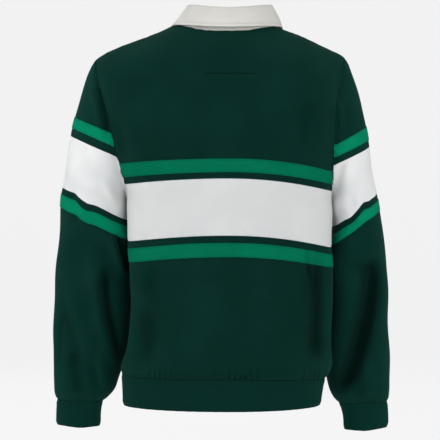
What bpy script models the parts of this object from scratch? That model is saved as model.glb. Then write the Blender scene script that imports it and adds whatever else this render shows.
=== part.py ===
"""A heavy sweatshirt in the rugby style, filled out as worn and hollow.

Metres, +Z up. The origin is the middle of the neck, level with the points where the shoulder
seams meet it. The wearer's front faces -Y and the wearer's left is +X. Neck, hem and cuffs
are open. The cloth is one fair skin of rows and columns, which is then cut into the pieces
that are sewn together. Each piece is the skin's outer face with its own wall under it.
"""

import math
from collections import namedtuple

import bmesh
import bpy
import numpy as np
from mathutils import Vector

# ---------------------------------------------------------------- driving sizes

FLEECE = 0.0020  # wall of the body cloth
RIB = 0.0026  # wall of the hem rib and cuffs
WOVEN = 0.0016  # wall of the collar's cloth
TAPE = 0.0010  # wall of a stripe tape
SEAM_GAP = 0.0003  # between two pieces at a seam
LAID_GAP = 0.0003  # under a piece that lies on another
SEAM_TURNS_AWAY = 0.5  # sine of the angle under which a seam runs along its point's normal
MITRE_LIMIT = 0.3  # how sharp a piece's corner may be before its mitre stops growing
SHARP_ANGLE = math.radians(50.0)  # edges bent more than this are shaded sharp

HALF_COLUMNS = 10  # columns of the skin from a side edge to the middle line
SLEEVE_COLUMNS = 16
HEAD_STEPS = SLEEVE_COLUMNS // 2  # armhole points from the shoulder to the last head row

SIDE_SEAM_Y = -0.010
CURVE_POWER = 2.2  # of the superellipse that a row follows in plan
YOKE_FALL_POWER = 1.6  # how late a yoke row falls away from the shoulder ridge
EVEN_ROWS = 2  # armhole rows that still bend up evenly
TURNING_ROWS = 3  # rows over which that turns into a yoke row's fall
TIP_LEAVES = 0.035  # widest place of the tip row, past the tip, so that it leaves the armhole

ARMHOLE_Y = -0.008
ARMHOLE_BACK_DEPTH = 0.068
ARMHOLE_FRONT_DEPTH = 0.066
ARMHOLE_FRONT_INSET = 0.012  # the front is cut narrower between the armholes
SLEEVE_HEAD_SIDE = math.radians(57.0)  # of the armhole's ellipse, where the head row starts

BUTTON_RADIUS = 0.0058
BUTTON_HEIGHT = 0.0024
BUTTON_TAPER = 0.88
BUTTON_SIDES = 20
BUTTON_LEVELS = (-0.128, -0.160, -0.192)
BUTTON_SLOPE_STEP = 0.010  # down the front, to find the slope under a button
PLACKET_WIDTH = 0.032
PLACKET_BOTTOM = -0.214
PLACKET_STEPS = 7
PLACKET_COLUMNS = (-0.5, -0.25, 0.0, 0.25, 0.5)  # shares of its width
PLACKET_CLEARANCE = 0.0009  # under the strip, over the front's own facets
PLACKET_BELOW_NECK = 0.0015
PLACKET_LEVEL = -0.110  # where the front's width is read for it

Shoulder = namedtuple("Shoulder", "side tip neck underarm_z")
LEFT = Shoulder(1, (0.2345, -0.005, -0.053), (0.0935, 0.0, 0.003), -0.312)
RIGHT = Shoulder(-1, (0.2030, -0.005, -0.052), (0.0955, 0.0, 0.000), -0.318)

# ---------------------------------------------------------------- body tables

# Half widths at the widest place of the body, and where that is from front to back.
Girth = namedtuple("Girth", "z left right widest")
GIRTHS = (
    Girth(-0.6700, 0.1870, 0.1610, 0.018),
    Girth(-0.6400, 0.1880, 0.1650, 0.019),
    Girth(-0.6170, 0.1895, 0.1700, 0.020),
    Girth(-0.6020, 0.1925, 0.1790, 0.024),
    Girth(-0.5650, 0.1780, 0.1795, 0.030),
    Girth(-0.5000, 0.1740, 0.1798, 0.032),
    Girth(-0.4180, 0.1740, 0.1800, 0.033),
    Girth(-0.3600, 0.1765, 0.1808, 0.033),
    Girth(-0.3120, 0.1820, 0.1806, 0.026),
    Girth(-0.2450, 0.1900, 0.1850, 0.030),
    Girth(-0.1650, 0.2150, 0.1950, 0.022),
    Girth(-0.0900, 0.2300, 0.2000, 0.004),
    Girth(-0.0530, 0.2345, 0.2030, -0.005),
    Girth(0.0030, 0.0935, 0.0955, 0.000),
)

# The middle lines of back and front.
Profile = namedtuple("Profile", "z y")
BACK_LINE = (
    Profile(-0.6700, 0.1130),
    Profile(-0.6450, 0.1135),
    Profile(-0.6170, 0.1160),
    Profile(-0.6020, 0.1225),
    Profile(-0.5650, 0.1200),
    Profile(-0.5000, 0.1160),
    Profile(-0.4200, 0.1165),
    Profile(-0.3400, 0.1205),
    Profile(-0.2500, 0.1270),
    Profile(-0.1800, 0.1270),
    Profile(-0.1200, 0.1195),
    Profile(-0.0730, 0.1080),
    Profile(-0.0400, 0.0950),
    Profile(-0.0117, 0.0765),
)
FRONT_LINE = (
    Profile(-0.6720, -0.1100),
    Profile(-0.6500, -0.1105),
    Profile(-0.6180, -0.1130),
    Profile(-0.6040, -0.1195),
    Profile(-0.5650, -0.1180),
    Profile(-0.5000, -0.1160),
    Profile(-0.4000, -0.1215),
    Profile(-0.3000, -0.1280),
    Profile(-0.2400, -0.1270),
    Profile(-0.1800, -0.1200),
    Profile(-0.1300, -0.1080),
    Profile(-0.1000, -0.0965),
    Profile(-0.0740, -0.0810),
)

# Rows of the body, from the hem up: heights at the left and right edges and at the middle
# lines. The edges of the first rows lie on the side seams.
Row = namedtuple("Row", "name left right back front")
SEAM_ROWS = (
    Row("hem_edge", -0.6650, -0.6640, -0.6675, -0.6720),
    Row("hem_middle", -0.6400, -0.6430, -0.6410, -0.6450),
    Row("hem_top", -0.6210, -0.6270, -0.6210, -0.6250),
    Row("hem_seam", -0.6130, -0.6190, -0.6135, -0.6170),
    Row("blouse", -0.6000, -0.6040, -0.6000, -0.6030),
    Row("low_1", -0.5740, -0.5780, -0.5730, -0.5760),
    Row("low_2", -0.5290, -0.5340, -0.5240, -0.5290),
    Row("low_3", -0.4690, -0.4760, -0.4610, -0.4690),
    Row("lower_tape_bottom", -0.4120, -0.4209, -0.4000, -0.4120),
    Row("lower_tape_top", -0.3892, -0.3999, -0.3771, -0.3890),
    Row("band_bottom", -0.3771, -0.3882, -0.3653, -0.3770),
    Row("band_low", -0.3460, -0.3530, -0.3360, -0.3450),
)
# The edges of these lie on the armholes, and the first of them at the underarm.
ARMHOLE_ROWS = (
    Row("underarm", -0.3120, -0.3180, -0.3020, -0.3110),
    Row("band_top", -0.2768, -0.2895, -0.2657, -0.2770),
    Row("upper_tape_bottom", -0.2660, -0.2779, -0.2564, -0.2670),
    Row("upper_tape_top", -0.2433, -0.2555, -0.2325, -0.2440),
    Row("yoke_1", -0.2050, -0.2160, -0.2030, -0.2140),
    Row("yoke_2", -0.1640, -0.1720, -0.1750, -0.1880),
    Row("yoke_3", -0.1230, -0.1260, -0.1480, -0.1650),
)
YOKE_4 = Row("yoke_4", None, None, -0.1240, -0.1450)
YOKE_5 = Row("yoke_5", None, None, -0.1060, -0.1300)
TIP_ROW = Row("shoulder_tip", None, None, -0.0900, -0.1180)
YOKE_4_STEP = 5  # which armhole point from the shoulder tip the row ends on
YOKE_5_STEP = 3
# The edges of these lie on the shoulder seams, at a share of the way from tip to neck.
ShoulderRow = namedtuple("ShoulderRow", "share back front")
SHOULDER_ROWS = (
    ShoulderRow(0.26, -0.0725, -0.1080),
    ShoulderRow(0.52, -0.0555, -0.0990),
    ShoulderRow(0.74, -0.0395, -0.0905),
    ShoulderRow(0.89, -0.0250, -0.0820),
    ShoulderRow(1.00, -0.0117, -0.0740),
)

# Half width of the back between the armhole seams.
Across = namedtuple("Across", "z x")
LEFT_ACROSS = (
    Across(-0.3120, 0.1780),
    Across(-0.2756, 0.1833),
    Across(-0.2268, 0.1935),
    Across(-0.1657, 0.2060),
    Across(-0.1117, 0.2200),
    Across(-0.0768, 0.2300),
    Across(-0.0530, 0.2345),
)
RIGHT_ACROSS = (
    Across(-0.3180, 0.1765),
    Across(-0.2878, 0.1790),
    Across(-0.2407, 0.1808),
    Across(-0.1657, 0.1860),
    Across(-0.1204, 0.1900),
    Across(-0.0900, 0.1945),
    Across(-0.0520, 0.2030),
)

# ---------------------------------------------------------------- sleeve tables

# The sleeve's outer line, its inner line, and its middle and half depth from front to back.
Outer = namedtuple("Outer", "z x")
Inner = namedtuple("Inner", "z x")
Depth = namedtuple("Depth", "z y half")
LEFT_OUTER = (
    Outer(-0.7200, 0.3120),
    Outer(-0.6950, 0.3125),
    Outer(-0.6665, 0.3110),
    Outer(-0.6560, 0.3155),
    Outer(-0.6253, 0.3165),
    Outer(-0.5687, 0.3151),
    Outer(-0.5051, 0.3145),
    Outer(-0.4507, 0.3121),
    Outer(-0.3965, 0.3078),
    Outer(-0.3426, 0.3028),
    Outer(-0.2996, 0.2982),
    Outer(-0.2568, 0.2910),
    Outer(-0.2140, 0.2832),
    Outer(-0.1714, 0.2752),
    Outer(-0.1395, 0.2670),
    Outer(-0.1076, 0.2580),
    Outer(-0.0759, 0.2465),
    Outer(-0.0530, 0.2345),
)
LEFT_INNER = (
    Inner(-0.7200, 0.2310),
    Inner(-0.6850, 0.2305),
    Inner(-0.6690, 0.2250),
    Inner(-0.6560, 0.2140),
    Inner(-0.6324, 0.2036),
    Inner(-0.6080, 0.1950),
    Inner(-0.5650, 0.1810),
    Inner(-0.5200, 0.1740),
    Inner(-0.4500, 0.1720),
    Inner(-0.3900, 0.1745),
    Inner(-0.3480, 0.1810),
    Inner(-0.3300, 0.1810),
    Inner(-0.3120, 0.1780),
)
LEFT_DEPTH = (
    Depth(-0.7200, -0.072, 0.0310),
    Depth(-0.6850, -0.071, 0.0320),
    Depth(-0.6680, -0.070, 0.0370),
    Depth(-0.6560, -0.070, 0.0480),
    Depth(-0.6320, -0.068, 0.0525),
    Depth(-0.5600, -0.062, 0.0560),
    Depth(-0.4800, -0.052, 0.0590),
    Depth(-0.4000, -0.040, 0.0620),
    Depth(-0.3400, -0.030, 0.0660),
    Depth(-0.2860, -0.020, 0.0700),
    Depth(-0.2000, -0.012, 0.0700),
    Depth(-0.0530, -0.005, 0.0700),
)
RIGHT_OUTER = (
    Outer(-0.7260, 0.2880),
    Outer(-0.7000, 0.2885),
    Outer(-0.6700, 0.2870),
    Outer(-0.6590, 0.2892),
    Outer(-0.6253, 0.2892),
    Outer(-0.5687, 0.2885),
    Outer(-0.5051, 0.2863),
    Outer(-0.4507, 0.2838),
    Outer(-0.3965, 0.2787),
    Outer(-0.3426, 0.2715),
    Outer(-0.2996, 0.2642),
    Outer(-0.2568, 0.2566),
    Outer(-0.2140, 0.2490),
    Outer(-0.1714, 0.2405),
    Outer(-0.1395, 0.2330),
    Outer(-0.1076, 0.2255),
    Outer(-0.0759, 0.2160),
    Outer(-0.0520, 0.2030),
)
RIGHT_INNER = (
    Inner(-0.7260, 0.2065),
    Inner(-0.6900, 0.2055),
    Inner(-0.6730, 0.1970),
    Inner(-0.6600, 0.1860),
    Inner(-0.6286, 0.1765),
    Inner(-0.5686, 0.1735),
    Inner(-0.5000, 0.1735),
    Inner(-0.4200, 0.1765),
    Inner(-0.3860, 0.1805),
    Inner(-0.3560, 0.1840),
    Inner(-0.3370, 0.1825),
    Inner(-0.3180, 0.1765),
)
RIGHT_DEPTH = (
    Depth(-0.7260, -0.072, 0.0310),
    Depth(-0.6900, -0.071, 0.0320),
    Depth(-0.6720, -0.070, 0.0375),
    Depth(-0.6600, -0.070, 0.0495),
    Depth(-0.6350, -0.068, 0.0570),
    Depth(-0.5600, -0.062, 0.0660),
    Depth(-0.4800, -0.052, 0.0715),
    Depth(-0.4000, -0.040, 0.0735),
    Depth(-0.3400, -0.030, 0.0730),
    Depth(-0.2860, -0.020, 0.0715),
    Depth(-0.2000, -0.012, 0.0700),
    Depth(-0.0520, -0.005, 0.0700),
)

# Closed rings of a sleeve, from the cuff's edge up: heights of the outer and inner ends.
Ring = namedtuple("Ring", "name outer inner")
LEFT_RINGS = (
    Ring("cuff_edge", -0.7175, -0.7200),
    Ring("cuff_middle", -0.6960, -0.6990),
    Ring("cuff_top", -0.6760, -0.6790),
    Ring("cuff_seam", -0.6665, -0.6695),
    Ring("blouse", -0.6560, -0.6570),
    Ring("arm_1", -0.6330, -0.6340),
    Ring("arm_2", -0.6010, -0.6040),
    Ring("arm_3", -0.5600, -0.5660),
    Ring("arm_4", -0.5120, -0.5270),
    Ring("arm_5", -0.4630, -0.4870),
    Ring("arm_6", -0.4150, -0.4500),
    Ring("arm_7", -0.3680, -0.4170),
    Ring("lower_tape_bottom", -0.3211, -0.3835),
    Ring("lower_tape_top", -0.2991, -0.3600),
    Ring("band_bottom", -0.2880, -0.3480),
    Ring("band_low", -0.2740, -0.3300),
)
RIGHT_RINGS = (
    Ring("cuff_edge", -0.7235, -0.7255),
    Ring("cuff_middle", -0.7000, -0.7030),
    Ring("cuff_top", -0.6800, -0.6830),
    Ring("cuff_seam", -0.6705, -0.6735),
    Ring("blouse", -0.6600, -0.6610),
    Ring("arm_1", -0.6350, -0.6360),
    Ring("arm_2", -0.6030, -0.6060),
    Ring("arm_3", -0.5620, -0.5700),
    Ring("arm_4", -0.5150, -0.5320),
    Ring("arm_5", -0.4680, -0.4950),
    Ring("arm_6", -0.4210, -0.4600),
    Ring("arm_7", -0.3750, -0.4250),
    Ring("lower_tape_bottom", -0.3300, -0.3900),
    Ring("lower_tape_top", -0.3068, -0.3678),
    Ring("band_bottom", -0.2996, -0.3560),
    Ring("band_low", -0.2860, -0.3370),
)
# Open rows above the underarm: the outer end's height, the armhole's, and how far round the
# row's ellipse it reaches to each side of the outer line, in degrees.
Arc = namedtuple("Arc", "name outer armhole reach")
LEFT_ARCS = (
    Arc("band_middle", -0.2270, -0.2850, 140.0),
    Arc("band_top", -0.1912, -0.2268, 105.0),
    Arc("upper_tape_bottom", -0.1793, -0.2152, 98.0),
    Arc("upper_tape_top", -0.1581, -0.1867, 88.0),
    Arc("head_1", -0.1320, -0.1620, 80.0),
    Arc("head_2", -0.1060, -0.1400, 74.0),
    Arc("head_3", -0.0800, -0.1240, 69.0),
)
RIGHT_ARCS = (
    Arc("band_middle", -0.2400, -0.2920, 138.0),
    Arc("band_top", -0.2088, -0.2433, 110.0),
    Arc("upper_tape_bottom", -0.1967, -0.2325, 103.0),
    Arc("upper_tape_top", -0.1720, -0.2094, 94.0),
    Arc("head_1", -0.1430, -0.1780, 84.0),
    Arc("head_2", -0.1130, -0.1490, 76.0),
    Arc("head_3", -0.0830, -0.1250, 69.0),
)
UNDERARM_OUTER = {1: -0.2600, -1: -0.2730}  # height of the underarm ring's outer end

# ---------------------------------------------------------------- collar table

# Round the neck from the middle of the back to the middle of the front, in degrees: the
# fold's place and the leaf's lower edge.
Collar = namedtuple("Collar", "turn fold_x fold_y fold_z edge_x edge_y edge_z")
COLLAR = (
    Collar(0.0, 0.0000, 0.0625, 0.0265, 0.0000, 0.0870, -0.0050),
    Collar(30.0, 0.0330, 0.0580, 0.0285, 0.0420, 0.0815, -0.0035),
    Collar(56.0, 0.0585, 0.0400, 0.0325, 0.0760, 0.0585, 0.0005),
    Collar(80.0, 0.0710, 0.0130, 0.0350, 0.0965, 0.0235, 0.0045),
    Collar(103.0, 0.0700, -0.0160, 0.0290, 0.1005, -0.0190, 0.0010),
    Collar(125.0, 0.0580, -0.0400, 0.0120, 0.0920, -0.0570, -0.0250),
    Collar(149.0, 0.0350, -0.0580, -0.0150, 0.0730, -0.0865, -0.0700),
    Collar(165.5, 0.0170, -0.0655, -0.0330, 0.0580, -0.1030, -0.1010),
    Collar(176.5, 0.0040, -0.0680, -0.0430, 0.0420, -0.1120, -0.1180),
    Collar(180.0, 0.0000, -0.0685, -0.0455, 0.0390, -0.1130, -0.1200),
)
LEAF_END = 177.0  # direction of the leaf's front ends
FOLD_ROLL = (  # outwards and upwards from the stand's top edge, to the start of the leaf's fall
    (-0.0016, 0.0010),
    (-0.0008, 0.0032),
    (0.0020, 0.0040),
    (0.0046, 0.0016),
)
LEAF_FALL_ROWS = 4
LEAF_BELLY = 0.0020  # how far the falling leaf stands out from a straight line

DARK_GREEN = ("dark_green", (0.011, 0.052, 0.038, 1.0), 0.90)
BRIGHT_GREEN = ("bright_green", (0.000, 0.200, 0.105, 1.0), 0.85)
WHITE_BAND = ("white_band", (0.700, 0.715, 0.715, 1.0), 0.85)
COLLAR_WHITE = ("collar_white", (0.730, 0.715, 0.660, 1.0), 0.80)
BUTTON_WHITE = ("button", (0.780, 0.770, 0.740, 1.0), 0.35)


# ---------------------------------------------------------------- curves


def fair(table, column, key):
    """A table column's value at one key (the first column), on a smooth curve through it."""
    keys = [row[0] for row in table]
    values = [getattr(row, column) for row in table]
    key = min(max(key, keys[0]), keys[-1])
    last = len(keys) - 2
    span = next((i for i in range(last) if key <= keys[i + 1]), last)
    slopes = [(values[i + 1] - values[i]) / (keys[i + 1] - keys[i]) for i in range(last + 1)]
    ends = []
    for i in (span, span + 1):
        before = slopes[max(i - 1, 0)]
        after = slopes[min(i, last)]
        ends.append(0.0 if before * after < 0 else (before + after) / 2)
    width = keys[span + 1] - keys[span]
    u = (key - keys[span]) / width
    return (
        values[span] * (1 + 2 * u) * (1 - u) ** 2
        + values[span + 1] * u * u * (3 - 2 * u)
        + width * (ends[0] * u * (1 - u) ** 2 - ends[1] * u * u * (1 - u))
    )


def lerp(a, b, share):
    return np.asarray(a, float) * (1 - share) + np.asarray(b, float) * share


# ---------------------------------------------------------------- skin


class Skin:
    """Points shared by position, and faces that carry a piece's name and a group's.

    A point's normal is the mean of its groups' normals, so two pieces that meet at a seam
    have their walls' edges side by side there, even in a sharp fold such as the underarm.
    """

    def __init__(self):
        self.points = []
        self.index = {}
        self.faces = []

    def point(self, place):
        key = tuple(int(round(value * 1e6)) for value in place)
        if key not in self.index:
            self.index[key] = len(self.points)
            self.points.append(np.array(place, float))
        return self.index[key]

    def face(self, corners, hub, piece, group):
        """Adds a face, cut into triangles from one corner that isn't on an armhole."""
        loop = []
        for corner in corners:
            if corner not in loop:
                loop.append(corner)
        start = loop.index(hub)
        fan = loop[start:] + loop[:start]
        for a, b in zip(fan[1:], fan[2:]):
            self.faces.append(([fan[0], a, b], piece, group))

    def area(self, loop):
        places = [self.points[i] for i in loop]
        return sum(np.cross(a, b) for a, b in zip(places, places[1:] + places[:1]))

    def facing(self, loop):
        area = self.area(loop)
        return area / np.linalg.norm(area)

    def normals(self):
        groups = {}
        for loop, _, group in self.faces:
            area = self.area(loop)
            for i in loop:
                groups.setdefault(i, {}).setdefault(group, np.zeros(3))
                groups[i][group] = groups[i][group] + area
        found = {}
        for i, sums in groups.items():
            total = sum(vector / np.linalg.norm(vector) for vector in sums.values())
            found[i] = total / np.linalg.norm(total)
        return found


def seam_shift(points, normals, edges):
    """How far each border point moves into its own piece, so that seams have their gap.

    edges holds (from, to, face normal). Where a seam runs along a point's own normal, as the
    side seam does at the underarm, the face's normal says which way is inwards.
    """
    sides = {}
    for a, b, facing in edges:
        along = points[b] - points[a]
        along = along / np.linalg.norm(along)
        for i in (a, b):
            inwards = np.cross(normals[i], along)
            if np.linalg.norm(inwards) < SEAM_TURNS_AWAY:
                inwards = np.cross(facing, along)
            sides.setdefault(i, []).append(inwards / np.linalg.norm(inwards))
    shift = {}
    for i, found in sides.items():
        total = sum(found)
        if len(found) == 2:
            total = total / max(1 + float(found[0] @ found[1]), MITRE_LIMIT)
        shift[i] = total * SEAM_GAP / 2
    return shift


def wall(name, skin, normals, loops, thickness, finish, lift=0.0):
    """Makes one piece: the faces' outer side, lifted, and a wall of one thickness under it."""
    directed = {(a, b): loop for loop in loops for a, b in zip(loop, loop[1:] + loop[:1])}
    border = [
        (a, b, skin.facing(loop)) for (a, b), loop in directed.items() if (b, a) not in directed
    ]
    shift = seam_shift(skin.points, normals, border)
    used = sorted({i for loop in loops for i in loop})
    local = {i: n for n, i in enumerate(used)}
    count = len(used)
    outer = [skin.points[i] + shift.get(i, 0.0) + normals[i] * lift for i in used]
    inner = [place - normals[i] * thickness for place, i in zip(outer, used)]
    faces = [[local[i] for i in loop] for loop in loops]
    faces += [[local[i] + count for i in reversed(loop)] for loop in loops]
    for a, b, _ in border:
        near, far = local[a], local[b]
        if a < b:
            faces += [[far, near, far + count], [near, near + count, far + count]]
        else:
            faces += [[far, near, near + count], [far, near + count, far + count]]
    return new_piece(name, outer + inner, faces, finish)


def new_piece(name, points, faces, finish):
    mesh = bpy.data.meshes.new(name)
    mesh.from_pydata([tuple(place) for place in points], [], faces)
    mesh.validate()
    mesh.shade_smooth()
    mesh.set_sharp_from_angle(angle=SHARP_ANGLE)
    mesh.materials.append(material(*finish))
    piece = bpy.data.objects.new(name, mesh)
    bpy.context.scene.collection.objects.link(piece)
    return piece


def material(name, colour, roughness):
    if name in bpy.data.materials:
        return bpy.data.materials[name]
    made = bpy.data.materials.new(name)
    made.use_nodes = True
    shader = made.node_tree.nodes["Principled BSDF"]
    shader.inputs["Base Color"].default_value = colour
    shader.inputs["Roughness"].default_value = roughness
    shader.inputs["Metallic"].default_value = 0.0
    return made


# ---------------------------------------------------------------- armholes


def armhole_point(shoulder, face, z):
    """A point of the armhole seam. face is 1 on the back and -1 on the front."""
    across = LEFT_ACROSS if shoulder.side > 0 else RIGHT_ACROSS
    top = shoulder.tip[2]
    middle = (top + shoulder.underarm_z) / 2
    half = (top - shoulder.underarm_z) / 2
    round_it = math.acos(min(max((z - middle) / half, -1.0), 1.0))
    depth = ARMHOLE_BACK_DEPTH if face > 0 else -ARMHOLE_FRONT_DEPTH
    inset = 0.0 if face > 0 else ARMHOLE_FRONT_INSET
    y = lerp(ARMHOLE_Y, shoulder.tip[1], max(math.cos(round_it), 0.0)) + depth * math.sin(round_it)
    x = fair(across, "x", z) - inset * math.sin(round_it)
    return (shoulder.side * x, float(y), z)


def head_heights(shoulder):
    """Armhole heights from the shoulder tip to the end of the sleeve's last head row."""
    top = shoulder.tip[2]
    middle = (top + shoulder.underarm_z) / 2
    half = (top - shoulder.underarm_z) / 2
    steps = [SLEEVE_HEAD_SIDE * i / HEAD_STEPS for i in range(HEAD_STEPS + 1)]
    return [middle + half * math.cos(step) for step in steps]


def armhole_heights(shoulder):
    """Every height at which a row of the body or of the sleeve ends on this armhole."""
    column = "left" if shoulder.side > 0 else "right"
    arcs = LEFT_ARCS if shoulder.side > 0 else RIGHT_ARCS
    heights = [getattr(row, column) for row in ARMHOLE_ROWS[1:]]
    heights += [arc.armhole for arc in arcs]
    heights += head_heights(shoulder)
    return sorted(heights + [shoulder.underarm_z])


def between(shoulder, face, low, high):
    """The armhole points between two heights, from the high one down."""
    heights = [z for z in armhole_heights(shoulder) if low + 1e-6 < z < high - 1e-6]
    return [armhole_point(shoulder, face, z) for z in reversed(heights)]


# ---------------------------------------------------------------- body


def half_row(edge, middle, opposite_y, widest, fall):
    """Points of a row from its edge to the middle line, on a superellipse in plan.

    fall is 0 for a row that bends up evenly to its middle and 1 for a yoke row, which
    leaves the shoulder ridge level and then falls.
    """
    reach = middle[1] - widest
    ahead = (edge[1] - widest) / reach
    other = opposite_y - widest
    share = ahead if ahead >= 0 else (edge[1] - widest) / other
    start = math.asin(min(share, 1.0) ** (CURVE_POWER / 2))
    start = start if ahead >= 0 else -start
    half_width = abs(edge[0]) / math.cos(start) ** (2 / CURVE_POWER)
    side = math.copysign(1.0, edge[0])
    row = []
    for column in range(HALF_COLUMNS + 1):
        turn = start + (math.pi / 2 - start) * column / HALF_COLUMNS
        x = half_width * max(math.cos(turn), 0.0) ** (2 / CURVE_POWER)
        y = abs(math.sin(turn)) ** (2 / CURVE_POWER)
        y = widest + (reach if turn >= 0 else other) * y
        even = max(1 - (x / abs(edge[0])) ** 2, 0.0)
        late = max((y - edge[1]) / (middle[1] - edge[1]), 0.0) ** YOKE_FALL_POWER
        z = edge[2] + (middle[2] - edge[2]) * (even * (1 - fall) + late * fall)
        row.append((side * x, y, z))
    row[0] = tuple(edge)
    row[-1] = (0.0, middle[1], middle[2])
    return row


def seam_point(shoulder, z):
    """A point of the side seam, which lies a little in front of the widest place."""
    girth = fair(GIRTHS, "left" if shoulder.side > 0 else "right", z)
    widest = fair(GIRTHS, "widest", z)
    share = (widest - SIDE_SEAM_Y) / (widest - fair(FRONT_LINE, "y", z))
    turn = math.asin(max(share, 0.0) ** (CURVE_POWER / 2))
    x = girth * math.cos(turn) ** (2 / CURVE_POWER)
    return (shoulder.side * x, SIDE_SEAM_Y, z)


def body_row(ends, heights, widest, fall):
    """A whole row of one face of the body, from the left edge to the right."""
    line, other_line, middle_z = heights
    middle = (0.0, fair(line, "y", middle_z), middle_z)
    opposite_y = fair(other_line, "y", middle_z)
    left = half_row(ends[0], middle, opposite_y, widest, fall)
    right = half_row(ends[1], middle, opposite_y, widest, fall)
    return left + right[-2::-1]


def body_levels(face):
    """The rows of back (1) or front (-1): (name, points, edge heights on the armholes)."""
    line, other = (BACK_LINE, FRONT_LINE) if face > 0 else (FRONT_LINE, BACK_LINE)
    column = "back" if face > 0 else "front"
    levels = []
    for row in SEAM_ROWS:
        ends = (seam_point(LEFT, row.left), seam_point(RIGHT, row.right))
        middle_z = getattr(row, column)
        widest = fair(GIRTHS, "widest", (row.left + row.right) / 2)
        levels.append((row.name, body_row(ends, (line, other, middle_z), widest, 0.0), None))
    steps = {YOKE_4: YOKE_4_STEP, YOKE_5: YOKE_5_STEP, TIP_ROW: 0}
    armhole_rows = list(ARMHOLE_ROWS) + list(steps)
    for count, row in enumerate(armhole_rows):
        if row in steps:
            edges = tuple(head_heights(side)[steps[row]] for side in (LEFT, RIGHT))
        else:
            edges = (row.left, row.right)
        ends = (armhole_point(LEFT, face, edges[0]), armhole_point(RIGHT, face, edges[1]))
        middle_z = getattr(row, column)
        widest = fair(GIRTHS, "widest", sum(edges) / 2)
        if row is TIP_ROW:
            widest = LEFT.tip[1] - face * TIP_LEAVES
        fall = min(max((count - EVEN_ROWS) / TURNING_ROWS, 0.0), 1.0)
        levels.append((row.name, body_row(ends, (line, other, middle_z), widest, fall), edges))
    for row in SHOULDER_ROWS:
        ends = (side_edge(LEFT, row.share), side_edge(RIGHT, row.share))
        middle_z = getattr(row, column)
        widest = float(ends[0][1])
        levels.append(("shoulder", body_row(ends, (line, other, middle_z), widest, 1.0), None))
    return levels


def side_edge(shoulder, share):
    x, y, z = lerp(shoulder.tip, shoulder.neck, share)
    return (shoulder.side * x, y, z)


def body_piece(face, name, above):
    """Which piece the faces between row `name` and the row `above` belong to."""
    side = "back" if face > 0 else "front"
    if above in ("hem_middle", "hem_top", "hem_seam"):
        return "hem_rib"
    if name in ("band_bottom", "band_low", "underarm"):
        return side + "_band"
    lower = {row.name for row in SEAM_ROWS}
    return side + ("_lower" if name in lower else "_upper")


def add_body(skin):
    for face in (1, -1):
        levels = body_levels(face)
        for (name, low, low_edges), (above, high, high_edges) in zip(levels, levels[1:]):
            piece = body_piece(face, name, above)
            if "tape" in name and "tape" in above:
                tape = ("back_" if face > 0 else "front_") + name.replace("_bottom", "")
            else:
                tape = None
            for column in range(2 * HALF_COLUMNS):
                loop = [low[column], low[column + 1], high[column + 1], high[column]]
                if low_edges and high_edges and column == 0:
                    loop += between(LEFT, face, low_edges[0], high_edges[0])
                if low_edges and high_edges and column == 2 * HALF_COLUMNS - 1:
                    extra = between(RIGHT, face, low_edges[1], high_edges[1])
                    loop[2:2] = extra[::-1]
                hub = low[column + 1] if column < HALF_COLUMNS else low[column]
                add_face(skin, loop, hub, (piece, tape), "body", face < 0)


def add_face(skin, loop, hub, piece, group, flip):
    """Adds a face by its places. hub is the place that its triangles share."""
    corners = [skin.point(place) for place in loop]
    skin.face(corners[::-1] if flip else corners, skin.point(hub), piece, group)


# ---------------------------------------------------------------- sleeves


def sleeve_tables(side):
    if side > 0:
        return LEFT_OUTER, LEFT_INNER, LEFT_DEPTH, LEFT_RINGS, LEFT_ARCS
    return RIGHT_OUTER, RIGHT_INNER, RIGHT_DEPTH, RIGHT_RINGS, RIGHT_ARCS


def closed_ring(shoulder, outer_z, inner_z, inner_end=None):
    """A ring of the sleeve below the underarm, from its inner line round the front."""
    outer, inner, depth, _, _ = sleeve_tables(shoulder.side)
    middle_z = (outer_z + inner_z) / 2
    y = fair(depth, "y", middle_z)
    out_point = np.array((shoulder.side * fair(outer, "x", outer_z), y, outer_z))
    in_point = np.array((shoulder.side * fair(inner, "x", inner_z), y, inner_z))
    if inner_end is not None:
        in_point = np.array(inner_end)
    centre = (out_point + in_point) / 2
    across = (out_point - in_point) / 2
    back = np.array((0.0, fair(depth, "half", middle_z), 0.0))
    ring = []
    for column in range(SLEEVE_COLUMNS + 1):
        turn = -math.pi + 2 * math.pi * column / SLEEVE_COLUMNS
        ring.append(tuple(centre + across * math.cos(turn) + back * math.sin(turn)))
    ring[0] = tuple(in_point)
    ring[-1] = tuple(in_point)
    return ring


def open_arc(shoulder, arc):
    """A row above the underarm, from the front armhole over the outer line to the back."""
    outer, _, depth, _, _ = sleeve_tables(shoulder.side)
    x = shoulder.side * fair(outer, "x", arc.outer)
    out_point = np.array((x, fair(depth, "y", arc.outer), arc.outer))
    front = np.array(armhole_point(shoulder, -1, arc.armhole))
    back = np.array(armhole_point(shoulder, 1, arc.armhole))
    reach = math.radians(arc.reach)
    across = (out_point - (front + back) / 2) / (1 - math.cos(reach))
    centre = out_point - across
    depthwise = (back - front) / (2 * math.sin(reach))
    row = []
    for column in range(SLEEVE_COLUMNS + 1):
        turn = reach * (2 * column / SLEEVE_COLUMNS - 1)
        row.append(tuple(centre + across * math.cos(turn) + depthwise * math.sin(turn)))
    row[0] = tuple(front)
    row[-1] = tuple(back)
    return row


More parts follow.
